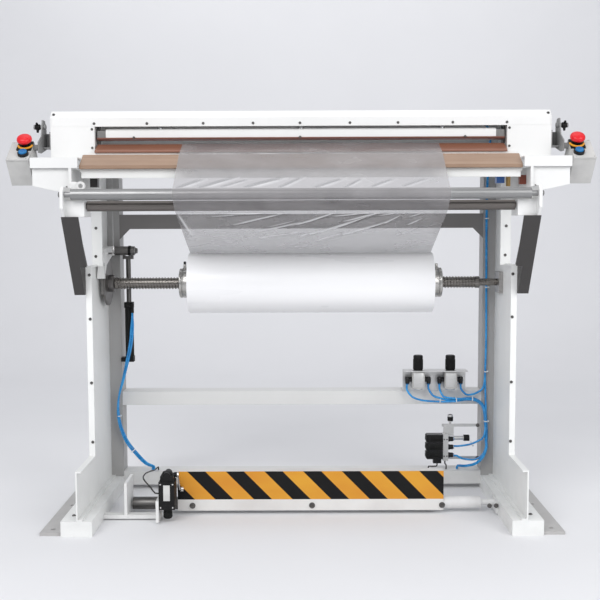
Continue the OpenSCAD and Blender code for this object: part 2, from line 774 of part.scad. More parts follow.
module brake_cylinder() color("black") difference() {
    union() {
        rod_z([cyl_x, cyl_y, cyl_top - cyl_len], cyl_len, cyl_r);
        for (z = [cyl_top - 16, cyl_top - cyl_len])
            block([cyl_x - cyl_r, cyl_y - cyl_r, z], [cyl_x + cyl_r, cyl_y + cyl_r, z + 16]);
        block([-foot_in, cyl_y - 8, cyl_top - cyl_len], [cyl_x, post_y + 14, cyl_top - cyl_len + 12]);
        rod_x(cyl_x, cyl_x + 12, [cyl_y - 18, cyl_top - 8], 4.5);
        rod_z([cyl_x + 12, cyl_y - 18, cyl_top - 30], 26, 5);
        block([cyl_x - 4, cyl_y - 22, cyl_top - 13], [cyl_x + 4, cyl_y - 10, cyl_top - 3]);
    }
    rod_z([cyl_x, cyl_y, cyl_top - 60], 61, rod_half + fit);
}

module brake_rod() color("silver") {
    rod_z([cyl_x, cyl_y, cyl_top - 40], brake_z - 24 - cyl_top + 40, rod_half);
    difference() {
        block([crank_x0 - 7, cyl_y - 8, brake_z - 25], [crank_x1 + 7, cyl_y + 8, brake_z + 8]);
        block([crank_x0 - 0.5, cyl_y - 12, brake_z - 16], [crank_x1 + 0.5, cyl_y + 12, brake_z + 9]);
    }
    rod_x(crank_x0 - 6, crank_x1 + 6, [cyl_y, brake_z], 4);
}

// --- control boxes ---

// Local frame of a box: the origin is its upper front edge, Y runs up its top face
module on_box() translate([0, box_y, box_z]) rotate([box_tilt, 0, 0]) children();

module control_boxes() color("gainsboro") both_sides() on_box() difference() {
    union() {
        block([box_x, 0, -box_s], [box_x + box_w, box_s, -6]);
        block([box_x + 1, 1, -7], [box_x + box_w - 1, box_s - 1, -4]);
        block([box_x, 0, -4.6], [box_x + box_w, box_s, 0]);
    }
    block([box_x + 3, 3, 3 - box_s], [box_x + box_w - 3, box_s - 3, -9]);
    rod_z([button_x, stop_at, -10], 11, 11 + seat_gap);
    rod_z([button_x, start_at, -10], 11, start_r + seat_gap);
}

module button_bezels() both_sides() on_box() {
    color("gold") difference() {
        union() {
            block([button_x - 17, stop_at - 19, 0], [button_x + 21, stop_at + 19, 5]);
            rod_z([button_x, stop_at, 4], 3, stop_r);
            rod_z([button_x, stop_at, -12], collar_h + 12, 11);
        }
        rod_z([button_x, stop_at, -13], collar_h + 14, 6 + fit);
    }
    color("black") difference() {
        union() {
            rod_z([button_x, start_at, 0], 8, start_r + 2.5);
            rod_z([button_x, start_at, -12], 13, start_r);
        }
        rod_z([button_x, start_at, 3], 6, start_r + 0.4);
        rod_z([button_x, start_at, -13], 20, 5 + fit);
    }
}

// Mushroom head on its stem, turned about the stem's axis
module estop() color("red") translate([button_x, stop_at, 0]) {
    rod_z([0, 0, -22], collar_h + 28, 6);
    translate([0, 0, collar_h + stop_travel + 1]) rotate_extrude() polygon(concat(
        [[0, 0], [stop_r - 3, 0], [stop_r, 3], [stop_r, 9]],
        [for (a = [0 : 9 : 90]) [(stop_r - 2) * cos(a), 9 + 6 * sin(a)]]));
}

module push_button() color("royalblue") translate([button_x, start_at, 0]) {
    rod_z([0, 0, -22], 26 + start_travel, 5);
    translate([0, 0, 3 + start_travel + slack]) rotate_extrude() polygon([
        [0, 0], [start_r, 0], [start_r, 4.5], [start_r - 1.5, 6], [0, 6]]);
}

module left_estop() on_side(-1) on_box() estop();
module right_estop() on_box() estop();
module left_push_button() on_side(-1) on_box() push_button();
module right_push_button() on_box() push_button();

// U-shaped bracket from the head's end to the box, with its clamp bolt and pivot
bracket_u_z = seal_z - 12;
bolt_c = [-12, seal_z + 46];
box_pivot = [-55, seal_z - 12];
module box_brackets() both_sides() {
    color("lightgray") difference() {
        union() {
            run_x(wing_half - 2, wing_half + 1) polygon([
                [-66, seal_z - 26], [-40, seal_z - 26], [16, bracket_u_z], [16, seal_z + 40],
                [2, seal_z + 64], [-22, seal_z + 64], [-34, seal_z + 20], [-66, seal_z + 2]]);
            block([head_half, 13, bracket_u_z], [wing_half - 2, 16, seal_z + 30]);
            block([head_half, -28, bracket_u_z], [wing_half - 2, 16, bracket_u_z + sheet]);
            block([head_half, -28, bracket_u_z], [head_half + sheet, 16, bracket_u_z + 44]);
            rod_x(wing_half + 1, box_x, box_pivot, 8);
        }
        rod_x(wing_half - 3, wing_half + 2, bolt_c, 4 + seat_gap);
    }
    color("dimgray") {
        rod_x(wing_half - 8, wing_half + 24, bolt_c, 4);
        rod_x(wing_half + 1, wing_half + 4, bolt_c, 7);
        rod_x(wing_half - 8, wing_half - 2, bolt_c, 7);
        rod_x(wing_half + 12, wing_half + 24, bolt_c, 6.5);
    }
}

// --- air supply ---

module regulator_bracket() color("gainsboro") difference() {
    run_x(reg_x - 90, reg_x + 95) {
        translate([post_y - sheet, reg_z]) square([sheet, shelf_h]);
        translate([post_y - sheet, reg_z]) square([post_d - 10, sheet]);
        translate([reg_y - 22, reg_z + shelf_h - sheet]) square([post_y - reg_y + 22, sheet]);
    }
    for (s = [-0.5, 0.5])
        rod_z([reg_x + s * regulator_pitch, reg_y, reg_z + shelf_h - sheet - 1], sheet + 2, 10);
}

// A regulator: body with a side port each way, elbows and the threaded neck
elbow_z = reg_z + 37;
module regulator_bodies() color("lightgray") for (s = [-0.5, 0.5])
    translate([reg_x + s * regulator_pitch, reg_y, 0]) {
        block([-reg_w / 2, -16, reg_z + 12], [reg_w / 2, 16, reg_z + shelf_h - sheet]);
        rod_z([0, 0, reg_z + shelf_h - sheet - 1], 9, 9.8);
        rod_z([0, 0, reg_z + shelf_h], 22, neck_r - 2);
        for (side = [-1, 1]) on_side(side) {
            rod_x(reg_w / 2 - 1, 31, [0, elbow_z], 4.4);
            rod_z([31, 0, elbow_z - 13], 18, 5);
        }
    }

module regulator_knob(s) color("black") translate([reg_x + s * regulator_pitch, reg_y, 0])
    difference() {
        union() {
            rod_z([0, 0, reg_z + shelf_h + 5.3], knob_h - 6, knob_r);
            rod_z([0, 0, reg_z + shelf_h + knob_h - 1], 5, knob_r - 2);
            for (a = [0 : 30 : 330]) rotate([0, 0, a])
                rod_z([knob_r - 0.4, 0, reg_z + shelf_h + 7], knob_h - 12, 1.2);
        }
        rod_z([0, 0, reg_z + shelf_h], 23, neck_r - 2 + fit);
    }

module left_regulator_knob() regulator_knob(-0.5);
module right_regulator_knob() regulator_knob(0.5);

// Valve group: two bars off the right post carry a manifold with three outlets
valve_x = 424;
valve_y = post_y - 2;
valve_z = 92;
module valve_manifold() color("silver") {
    for (z = [valve_z - 6, valve_z + 92])
        block([valve_x - 8, valve_y + 12, z], [foot_in, valve_y + 18, z + 8]);
    block([valve_x - 8, valve_y - 10, valve_z - 6], [valve_x + 8, valve_y + 18, valve_z + 74]);
    block([valve_x - 4, valve_y + 6, valve_z + 66], [valve_x + 26, valve_y + 12.5, valve_z + 100]);
    for (k = [0 : 2])
        rod_x(valve_x + 7, valve_x + 24, [valve_y - 2, valve_z + 10 + 24 * k], 6);
    rod_x(valve_x + 25, valve_x + 55, [valve_y + 4, valve_z + 60], 6);
    rod_x(valve_x + 7, valve_x + 26, [valve_y + 4, valve_z + 60], 4);
    rod_x(valve_x + 54, valve_x + 72, [valve_y + 4, valve_z + 60], 9);
    rod_z([valve_x + 16, valve_y + 9, valve_z + 99], 18, 3);
    rod_z([valve_x + 16, valve_y + 9, valve_z + 109], 20, 8);
}

module solenoid_valves() color("black") {
    for (k = [0 : 2]) translate([0, 0, 25 * k])
        block([valve_x - 55, valve_y - 14, valve_z], [valve_x - 8, valve_y + 14, valve_z + 23]);
    block([valve_x - 36, valve_y - 8, valve_z - 14], [valve_x - 12, valve_y + 8, valve_z]);
}

// --- treadle ---

module treadle_panel() color("whitesmoke") run_x(treadle_x0, treadle_x1) {
    translate([panel_y, panel_z]) square([panel_t, treadle_h]);
    translate([panel_y, panel_z + treadle_h - panel_t]) square([32, panel_t]);
}

module treadle_shaft() color("silver") difference() {
    union() {
        rod_x(shaft_x_left, shaft_x_right, [shaft_y, shaft_z], shaft_r);
        for (x = [treadle_x0 + 40, treadle_x, treadle_x1 - 4 - 20])
            block([x - 20, panel_y + panel_t, shaft_z - 12], [x + 20, shaft_y, shaft_z + 12]);
    }
    rod_x(shaft_x_left - 1, shaft_x_left + pivot_depth, [shaft_y, shaft_z], pivot_r + fit);
    rod_x(shaft_x_right - pivot_depth, shaft_x_right + 1, [shaft_y, shaft_z], pivot_r + fit);
}

bar_y = -112;
plate_x = shaft_x_left - 12;
module treadle_brackets() color("gainsboro") {
    // left: a bar along the floor from the foot, with the pivot plate and the switch plate
    block([-foot_in, bar_y, 4], [switch_x - 2, bar_y + 28, 14]);
    block([plate_x, bar_y, 4], [plate_x + 8, -15, 100]);
    block([switch_x - 8, bar_y - 36, 4], [switch_x, bar_y + 28, 62]);
    rod_x(plate_x, shaft_x_left + pivot_depth - 2, [shaft_y, shaft_z], pivot_r);
    // right: a plate on the foot with its pivot pin
    block([foot_in - 6, -75, 4], [foot_in, -5, foot_h - 2]);
    rod_x(shaft_x_right - pivot_depth + 2, foot_in, [shaft_y, shaft_z], pivot_r);
}

module limit_switch() color("black") {
    block([switch_x, -146, 38], [switch_x + 42, -100, 112]);
    block([switch_x + 4, -142, 111], [switch_x + 38, -98, 126]);
    rod_y([switch_x + 21, -142, 126], 44, 10);
    rod_z([switch_x + 21, -124, 30], 9, 11);
    rod_z([switch_x + 21, -124, 10], 21, 8.5);
    rod_x(switch_x + 37, switch_x + 44, [lever_y, lever_z], 7);
}

module switch_lever() color("dimgray") {
    x = switch_x + 44 + slack;
    rod_x(x, x + 5, [lever_y, lever_z], 7);
    lever_l = norm([touch_y - lever_y, touch_z - lever_z]);
    lever_a = atan2(touch_z - lever_z, touch_y - lever_y);
    translate([x, lever_y, lever_z]) rotate([lever_a, 0, 0]) block([0, 0, -3], [4, lever_l, 3]);
    rod_x(x, x + 12, [touch_y, touch_z], 3);
    rod_x(x + 5, x + 12, [touch_y, touch_z], roller_r);
}

// --- cords ---

pair_r = tube_r * 1.6;
module left_air_tube() color("dodgerblue") sweep(left_tube_route, pair_r);

module right_air_tubes() color("dodgerblue") {
    sweep(riser_route, pair_r);
    sweep(bundle_route, pair_r);
    sweep(branch_route, tube_r);
    sweep(supply_route, tube_r);
    sweep(elbow_1_route, tube_r);
    sweep(elbow_2_route, tube_r);
    sweep(elbow_3_route, tube_r);
    sweep(elbow_4_route, tube_r);
}

module thin_cables() color("black") {
    sweep(switch_cable_route, 2);
    sweep(valve_cable_route, 2);
    sweep(manifold_cable_route, 2);
    sweep(brake_wire_route, 1.5);
    // the wire's eye and its ferrule
    difference() {
        union() {
            rod_x(eye_x - 1.5, eye_x + 1.5, [eye_y, eye_z], 8);
            rod_z([eye_x, eye_y, eye_z + 6], 14, 3);
        }
        rod_x(eye_x - 5, eye_x + 5, [eye_y, eye_z], 4.5);
    }
}

foot_tubes();
floor_plates();
left_side_plate();
right_side_plate();
rear_posts();
lower_crossbar();
base_beam();
upper_rear_beam();
head_cover();
head_ends();
wings();
lower_jaw_beam();
lower_jaw_cover();
seal_anvil();
heating_band();
upper_jaw_beam();
upper_jaw_cover();
silicone_pad();
guide_blocks();
guide_rails();
jaw_cylinders();
jaw_rods();
front_roller();
second_roller();
roller_brackets();
support_arms();
mandrel_shaft();
mandrel_bearings();
left_collar();
right_collar();
film_roll();
roll_core();
film_web();
brake_disc();
brake_lever();
brake_cylinder();
brake_rod();
control_boxes();
box_brackets();
button_bezels();
left_estop();
right_estop();
left_push_button();
right_push_button();
regulator_bracket();
regulator_bodies();
left_regulator_knob();
right_regulator_knob();
valve_manifold();
solenoid_valves();
treadle_panel();
treadle_shaft();
treadle_brackets();
limit_switch();
switch_lever();
jaw_terminals();
left_air_tube();
right_air_tubes();
thin_cables();
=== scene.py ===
import math

import bmesh
import bpy
from mathutils import Euler, Matrix, Vector


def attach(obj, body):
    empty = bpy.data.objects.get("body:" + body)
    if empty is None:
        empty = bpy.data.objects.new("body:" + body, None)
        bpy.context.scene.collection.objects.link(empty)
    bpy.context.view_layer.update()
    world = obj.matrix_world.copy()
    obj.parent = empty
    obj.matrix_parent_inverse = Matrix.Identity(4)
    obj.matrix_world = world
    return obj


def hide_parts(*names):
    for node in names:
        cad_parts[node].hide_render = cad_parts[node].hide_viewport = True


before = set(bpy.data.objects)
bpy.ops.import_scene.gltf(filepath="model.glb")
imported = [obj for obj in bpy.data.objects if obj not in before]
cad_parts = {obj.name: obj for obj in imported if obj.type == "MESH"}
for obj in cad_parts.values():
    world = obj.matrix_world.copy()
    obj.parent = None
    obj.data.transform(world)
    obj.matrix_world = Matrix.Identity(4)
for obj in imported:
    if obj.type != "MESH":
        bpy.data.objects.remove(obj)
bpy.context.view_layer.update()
MM = 0.001
FRONT = (0, -1, 0)
SIDES = ((-1, "left"), (1, "right"))

# Places that several pieces share, in millimetres
MANDREL_Y, MANDREL_Z = 106, 620
FILM_LEFT, FILM_RIGHT = -317, 369  # the roll's ends, where the collars' faces stand
REGULATORS_X = (340, 434)
REGULATOR_Y = 168
SWITCH_X = -356
BRAKE_Y, BRAKE_Z = 150, 711  # the brake lever's pivot
WIRE_X, WIRE_Y = -527, 75
STOP_AT = (723, 59, 0)  # emergency stop, in the right box's own frame
BUTTON_AT = (723, 23, 0)  # push button, in the same frame

# The photograph's fitted camera: place in millimetres, angles in degrees
CAMERA_X, CAMERA_D, CAMERA_Z = 4.3, 2630, 790
CAMERA_DOWN, CAMERA_TURN, CAMERA_ROLL = 4.586, 0.178, -0.22
TILT_COS, TILT_TAN = 0.9968, 0.0802  # of CAMERA_DOWN, rounded
# Focal length, half the picture's width and its centre, in pixels
FOCAL = 965
HALF_WIDTH = 300
CENTRE_X, CENTRE_Y = 303.2, 222.6


# --- camera ---

def make_camera():
    data = bpy.data.cameras.new("view")
    data.sensor_fit = "HORIZONTAL"
    data.angle = 2 * math.atan(HALF_WIDTH / FOCAL)
    cam = bpy.data.objects.new("view", data)
    bpy.context.scene.collection.objects.link(cam)
    turn = Euler((math.radians(90 - CAMERA_DOWN), 0, math.radians(CAMERA_TURN))).to_matrix()
    turn = turn @ Matrix.Rotation(math.radians(CAMERA_ROLL), 3, "Z")
    at = Vector((CAMERA_X * MM, -CAMERA_D * MM, CAMERA_Z * MM))
    cam.matrix_world = Matrix.Translation(at) @ turn.to_4x4()
    bpy.context.scene.camera = cam


make_camera()


# --- materials ---

class Nodes:
    """A short way to write a node tree: each call makes a node and links its inputs."""

    def __init__(self, name):
        self.mat = bpy.data.materials.new(name)
        self.mat.use_nodes = True
        self.tree = self.mat.node_tree
        self.tree.nodes.clear()
        out = self.tree.nodes.new("ShaderNodeOutputMaterial")
        self.shader = self.tree.nodes.new("ShaderNodeBsdfPrincipled")
        self.tree.links.new(self.shader.outputs[0], out.inputs["Surface"])
        self.coord = self.tree.nodes.new("ShaderNodeTexCoord").outputs["Object"]

    def put(self, socket, value):
        if isinstance(value, bpy.types.NodeSocket):
            self.tree.links.new(value, socket)
        elif socket.type == "RGBA" and len(value) == 3:
            socket.default_value = (*value, 1)
        else:
            socket.default_value = value

    def node(self, kind, inputs=(), output=0, **props):
        n = self.tree.nodes.new(kind)
        for k, v in props.items():
            setattr(n, k, v)
        for k, v in dict(inputs).items():
            self.put(n.inputs[k], v)
        return n.outputs[output]

    def scaled(self, by):
        return self.node("ShaderNodeMapping", {"Vector": self.coord, "Scale": by})

    def noise(self, scale, stretch=(1, 1, 1), detail=3, rough=0.5, distort=0.0):
        return self.node("ShaderNodeTexNoise", {
            "Vector": self.scaled(stretch), "Scale": scale, "Detail": detail,
            "Roughness": rough, "Distortion": distort}, output="Fac")

    def span(self, value, lo, hi, a=0.3, b=0.7):
        """Maps a to b onto lo to hi, and holds the ends."""
        return self.node("ShaderNodeMapRange", {
            "Value": value, "From Min": a, "From Max": b, "To Min": lo, "To Max": hi})

    def mix(self, fac, a, b):
        n = self.tree.nodes.new("ShaderNodeMix")
        n.data_type = "RGBA"
        self.put(n.inputs[0], fac)
        self.put(n.inputs[6], a)
        self.put(n.inputs[7], b)
        return n.outputs[2]

    def math(self, op, a, b=0.0):
        return self.node("ShaderNodeMath", {0: a, 1: b}, operation=op)

    def axis(self, name):
        return self.node("ShaderNodeSeparateXYZ", {0: self.coord}, output=name)

    def bump(self, height, strength, distance=0.001, normal=None):
        inputs = {"Height": height, "Strength": strength, "Distance": distance}
        if normal:
            inputs["Normal"] = normal
        return self.node("ShaderNodeBump", inputs)

    def round_edges(self, radius):
        return self.node("ShaderNodeBevel", {"Radius": radius}, samples=3)

    def set(self, **values):
        names = {"color": "Base Color", "rough": "Roughness", "metal": "Metallic",
                 "coat": "Coat Weight", "coat_rough": "Coat Roughness", "normal": "Normal",
                 "alpha": "Alpha", "specular": "Specular IOR Level"}
        for k, v in values.items():
            self.put(self.shader.inputs[names[k]], v)
        return self.mat


def tint(c, f):
    return tuple(min(1, v * f) for v in c)


def powder(name, color, rough=0.42, peel=0.10, edge=0.0012):
    """Powder coat: orange peel, faint cloudiness and painted shade in patches low down, near the
    floor.
    """
    n = Nodes(name)
    cloud = n.noise(6, detail=4)
    fine = n.noise(420, detail=2)
    low = n.span(n.axis("Z"), 1, 0, 0.0, 0.16)
    # Painted shade: up to a tenth darker in noisy patches below 0.16 m, near the floor.
    floor_shade = n.math("MULTIPLY", low, n.span(n.noise(22, detail=5), 0, 0.5))
    base = n.mix(n.span(cloud, 0, 1), tint(color, 0.965), tint(color, 1.02))
    base = n.mix(floor_shade, base, tint(color, 0.8))
    soft = n.round_edges(edge)
    return n.set(color=base, rough=n.span(fine, rough - 0.06, rough + 0.08),
                 normal=n.bump(fine, peel, 0.0006, soft))


def steel(name, color, rough=0.3, grain=(1, 1, 1), scale=90, bump=0.06, vary=0.16, edge=0.0006):
    """Turned, ground or drawn steel: fine lines along one direction and uneven polish."""
    n = Nodes(name)
    lines = n.noise(scale, grain, detail=4, rough=0.7)
    patch = n.noise(9, detail=4)
    base = n.mix(n.span(lines, 0, 1), tint(color, 1 - vary), tint(color, 1 + vary))
    base = n.mix(n.span(patch, 0, 0.35), base, tint(color, 0.78))
    return n.set(color=base, metal=1.0, rough=n.span(lines, rough - 0.06, rough + 0.1),
                 normal=n.bump(lines, bump, 0.0005, n.round_edges(edge)))


def plastic(name, color, rough=0.45, texture=0.12, scale=700, vary=0.08, edge=0.0008, specular=0.4):
    """Moulded plastic: spark-eroded texture, slight sheen changes and rounded edges."""
    n = Nodes(name)
    fine = n.noise(scale, detail=2)
    patch = n.noise(28, detail=4)
    base = n.mix(n.span(patch, 0, 1), tint(color, 1 - vary), tint(color, 1 + vary))
    return n.set(color=base, rough=n.span(patch, rough - 0.07, rough + 0.09), specular=specular,
                 normal=n.bump(fine, texture, 0.0004, n.round_edges(edge)))


def woven_tape(name, color, dark):
    """Glass cloth with a non-stick coat: a fine weave, heat stains along the bar, worn streaks."""
    n = Nodes(name)
    x, y, z = (n.axis(a) for a in "XYZ")
    across = n.math("ADD", y, z)
    threads = 4200.0
    weave = n.math("MULTIPLY", n.math("SINE", n.math("MULTIPLY", x, threads)),
                   n.math("SINE", n.math("MULTIPLY", across, threads)))
    streak = n.noise(5, (0.5, 14, 14), detail=5, rough=0.65)
    blotch = n.noise(11, (1, 2.5, 2.5), detail=4)
    base = n.mix(n.span(streak, 0, 1, 0.25, 0.75), color, dark)
    base = n.mix(n.span(blotch, 0, 0.4, 0.4, 0.8), base, tint(dark, 0.8))
    return n.set(color=base, rough=n.span(streak, 0.34, 0.5), coat=0.15,
                 normal=n.bump(weave, 0.12, 0.0002, n.round_edges(0.0012)))


def hazard():
    """The treadle: white sheet with a striped tape on its front, slanting down to the right."""
    n = Nodes("treadle_stripes")
    x, y, z = (n.axis(a) for a in "XYZ")
    # pitch and start are in metres, black_share and blur are shares of the pitch
    pitch, black_share, lean, start, blur = 0.1048, 0.47, 0.985, 0.1953, 0.006
    tape_foot, tape_face = (0.0405, 0.0412), (-0.0594, -0.0591)
    slant = n.math("ADD", x, n.math("MULTIPLY", z, lean))
    part = n.math("FRACT", n.math("MULTIPLY", n.math("ADD", slant, start), 1 / pitch))
    off = n.math("ABSOLUTE", n.math("SUBTRACT", part, black_share / 2))
    black = n.span(off, 1, 0, black_share / 2 - blur, black_share / 2 + blur)
    wear = n.noise(60, (1, 1, 1), detail=5, rough=0.7)
    warm = n.noise(5, (1, 1, 3), detail=3)
    yellow = n.mix(n.span(warm, 0, 1), (0.70, 0.34, 0.036), (0.64, 0.26, 0.03))
    ink = n.mix(n.span(wear, 0, 0.3), (0.003, 0.003, 0.0035), (0.009, 0.008, 0.008))
    tape = n.mix(black, yellow, ink)
    on_tape = n.math("MULTIPLY", n.span(z, 0, 1, *tape_foot), n.span(y, 1, 0, *tape_face))
    paint = n.mix(n.span(n.noise(9, detail=4), 0, 1), (0.66, 0.64, 0.62), (0.76, 0.75, 0.73))
    base = n.mix(on_tape, paint, tape)
    fine = n.noise(380, detail=2)
    return n.set(color=base, rough=n.span(wear, 0.5, 0.62), specular=0.25, normal=n.bump(
        fine, 0.08, 0.0005, n.round_edges(0.0008)))


frame_white = powder("frame_white", (0.86, 0.865, 0.85))
head_white = powder("head_white", (0.80, 0.80, 0.79), rough=0.42)
# Painted shade: the rear posts' white paint, coloured grey for the shade they stand in under the
# jaw table.
shaded_post_grey = powder("shaded_post_grey", (0.39, 0.385, 0.38))
bracket_grey = powder("bracket_grey", (0.24, 0.24, 0.24))
# Painted shade: a darker copy of the frame's white paint, for the lower crossbar and the base beam.
shaded_beam_white = powder("shaded_beam_white", (0.71, 0.71, 0.70))
# Painted shade: the upper rear beam's white paint, coloured dark grey for the shade under the jaw
# table.
shaded_beam_grey = powder("shaded_beam_grey", (0.22, 0.21, 0.205))
plate_grey = powder("plate_grey", (0.50, 0.49, 0.48), rough=0.5)
bracket_white = powder("bracket_white", (0.80, 0.80, 0.79))
strut_dark = powder("strut_dark", (0.042, 0.039, 0.038), rough=0.5, peel=0.2)
tape_tan = woven_tape("tape_tan", (0.37, 0.245, 0.165), (0.29, 0.18, 0.118))
tape_brown = woven_tape("tape_brown", (0.21, 0.072, 0.045), (0.13, 0.042, 0.028))
anvil_brown = woven_tape("anvil_brown", (0.30, 0.135, 0.085), (0.22, 0.09, 0.055))
silicone_red = plastic("silicone_red", (0.38, 0.10, 0.06), rough=0.55)
band_alloy = steel("band_alloy", (0.42, 0.26, 0.18), rough=0.4, grain=(1, 30, 30))
roller_steel = steel("roller_steel", (0.33, 0.33, 0.33), rough=0.40, grain=(0.3, 3, 3), scale=40,
                     bump=0.015, vary=0.04)
second_steel = steel("second_steel", (0.18, 0.165, 0.155), rough=0.40, grain=(0.3, 3, 3), scale=40,
                     bump=0.015, vary=0.05)
rail_steel = steel("rail_steel", (0.20, 0.195, 0.19), rough=0.45, grain=(4, 4, 0.4))
rod_steel = steel("rod_steel", (0.62, 0.62, 0.63), rough=0.2, grain=(5, 5, 0.4))
thread_steel = steel("thread_steel", (0.23, 0.215, 0.20), rough=0.22, grain=(2, 2, 2))
collar_steel = steel("collar_steel", (0.52, 0.51, 0.49), rough=0.25, grain=(12, 1, 1))
bearing_steel = steel("bearing_steel", (0.42, 0.41, 0.40), rough=0.4, grain=(2, 2, 2))
disc_steel = steel("disc_steel", (0.20, 0.19, 0.185), rough=0.34, grain=(1, 14, 14))
aluminium = steel("aluminium", (0.66, 0.66, 0.655), rough=0.42, grain=(1, 1, 5), vary=0.08)
screw_steel = steel("screw_steel", (0.16, 0.155, 0.15), rough=0.38, grain=(3, 3, 3))
bright_steel = steel("bright_steel", (0.72, 0.71, 0.70), rough=0.25, grain=(3, 3, 3))
box_grey = plastic("box_grey", (0.56, 0.555, 0.54), rough=0.5, texture=0.18)
black_matt = plastic("black_matt", (0.010, 0.010, 0.010), rough=0.5, vary=0.3, specular=0.2)
black_gloss = plastic("black_gloss", (0.010, 0.010, 0.011), rough=0.3, texture=0.04, vary=0.2,
                      specular=0.3)
red_cap = plastic("red_cap", (0.72, 0.012, 0.02), rough=0.28, texture=0.04, vary=0.06)
yellow_ring = plastic("yellow_ring", (0.80, 0.36, 0.02), rough=0.35, texture=0.05)
blue_cap = plastic("blue_cap", (0.012, 0.17, 0.42), rough=0.25, texture=0.04)
body_silver = plastic("body_silver", (0.47, 0.465, 0.45), rough=0.36, texture=0.12, vary=0.14)
label_white = plastic("label_white", (0.62, 0.62, 0.60), rough=0.4, texture=0.05, vary=0.16)
tie_clear = plastic("tie_clear", (0.75, 0.80, 0.84), rough=0.3, texture=0.03)
cable_black = plastic("cable_black", (0.022, 0.021, 0.02), rough=0.5, texture=0.15)
wire_steel = steel("wire_steel", (0.5, 0.5, 0.5), rough=0.35, grain=(1, 1, 25), scale=60)


def terminals():
    """Four mouldings in one node, told apart by where they are along the machine."""
    n = Nodes("jaw_terminal_mouldings")
    x = n.axis("X")
    patch = n.noise(40, detail=4)
    base = n.mix(n.span(x, 0, 1, 0.538, 0.540), (0.03, 0.14, 0.45), (0.60, 0.38, 0.12))
    base = n.mix(n.span(x, 0, 1, 0.562, 0.566), base, (0.33, 0.08, 0.045))
    base = n.mix(n.span(x, 1, 0, -0.01, 0.01), base, (0.015, 0.014, 0.014))
    base = n.mix(n.span(patch, 0, 0.35), base, (0.05, 0.03, 0.03))
    return n.set(color=base, rough=n.span(patch, 0.25, 0.45),
                 normal=n.bump(n.noise(500, detail=2), 0.08, 0.0004, n.round_edges(0.001)))


def two_tone(name, axis, at, below, above, metal_below=0.0, metal_above=0.0, rough=0.4):
    """One node with two finishes that meet at a place along an axis, in metres."""
    n = Nodes(name)
    side = n.span(n.axis(axis), 0, 1, at - 0.0005, at + 0.0005)
    patch = n.noise(30, detail=4)
    low = n.mix(n.span(patch, 0, 1), tint(below, 0.9), tint(below, 1.05))
    high = n.mix(n.span(patch, 0, 1), tint(above, 0.9), tint(above, 1.05))
    return n.set(color=n.mix(side, low, high), metal=n.math("ADD", n.math(
        "MULTIPLY", side, metal_above - metal_below), metal_below),
        rough=n.span(patch, rough - 0.06, rough + 0.08),
        normal=n.bump(n.noise(400, detail=2), 0.07, 0.0005, n.round_edges(0.0008)))


brake_finish = two_tone("brake_lever_finish", "X", -0.541, (0.78, 0.78, 0.77),
                        (0.17, 0.165, 0.16), metal_above=1.0)
shaft_finish = two_tone("treadle_shaft_finish", "X", 0.36, (0.17, 0.165, 0.16),
                        (0.74, 0.735, 0.73), metal_below=1.0)


def tube_blue():
    """Polyurethane air tube: saturated blue with a thin gloss and faint run marks."""
    n = Nodes("tube_blue")
    patch = n.noise(35, detail=3)
    base = n.mix(n.span(patch, 0, 1), (0.010, 0.19, 0.50), (0.02, 0.34, 0.76))
    return n.set(color=base, rough=n.span(patch, 0.18, 0.34), coat=0.3,
                 normal=n.bump(n.noise(300, detail=2), 0.05, 0.0004))


blue_tube = tube_blue()


def roll_film():
    """The wound roll: bright white plastic with faint rings and soft lengthwise ripples."""
    n = Nodes("roll_film")
    around = n.noise(5, (0.5, 3, 3), detail=3)
    base = n.mix(n.span(around, 0, 1), (0.92, 0.92, 0.93), (0.96, 0.96, 0.965))
    return n.set(color=base, rough=n.span(around, 0.26, 0.34), coat=0.3, coat_rough=0.15,
                 normal=n.bump(around, 0.05, 0.003))


def cardboard():
    """Grey-brown board of the roll's core, with its fibres."""
    n = Nodes("cardboard")
    fibre = n.noise(240, (1, 3, 3), detail=5, rough=0.7)
    base = n.mix(n.span(fibre, 0, 1), (0.36, 0.25, 0.14), (0.50, 0.36, 0.22))
    return n.set(color=base, rough=n.span(fibre, 0.75, 0.9), normal=n.bump(fibre, 0.3, 0.0005))


MATERIALS = {
    "foot_tubes": frame_white, "floor_plates": plate_grey, "left_side_plate": frame_white,
    "right_side_plate": frame_white, "rear_posts": shaded_post_grey, "lower_crossbar": shaded_beam_white,
    "base_beam": shaded_beam_white, "upper_rear_beam": shaded_beam_grey,
    "head_cover": head_white, "head_ends": head_white, "wings": head_white,
    "lower_jaw_beam": frame_white, "lower_jaw_cover": tape_tan, "seal_anvil": anvil_brown,
    "heating_band": band_alloy, "upper_jaw_beam": head_white, "upper_jaw_cover": tape_brown,
    "silicone_pad": silicone_red, "guide_blocks": rail_steel, "guide_rails": rail_steel,
    "jaw_cylinders": aluminium, "jaw_rods": rod_steel, "front_roller": roller_steel,
    "second_roller": second_steel, "roller_brackets": bracket_white,
    "support_arms": strut_dark, "mandrel_shaft": thread_steel,
    "mandrel_bearings": bearing_steel, "left_collar": collar_steel,
    "right_collar": collar_steel, "film_roll": roll_film(), "roll_core": cardboard(),
    "brake_disc": disc_steel, "brake_lever": brake_finish, "brake_cylinder": black_matt,
    "brake_rod": screw_steel, "control_boxes": box_grey, "box_brackets": bracket_grey,
    "button_bezels": black_matt, "left_estop": red_cap, "right_estop": red_cap,
    "left_push_button": blue_cap, "right_push_button": blue_cap,
    "regulator_bracket": aluminium, "regulator_bodies": body_silver,
    "left_regulator_knob": black_matt, "right_regulator_knob": black_matt,
    "valve_manifold": aluminium, "solenoid_valves": black_gloss,
    "treadle_panel": hazard(), "treadle_shaft": shaft_finish,
    "treadle_brackets": bracket_white, "limit_switch": black_matt,
    "switch_lever": bright_steel, "jaw_terminals": terminals(),
}
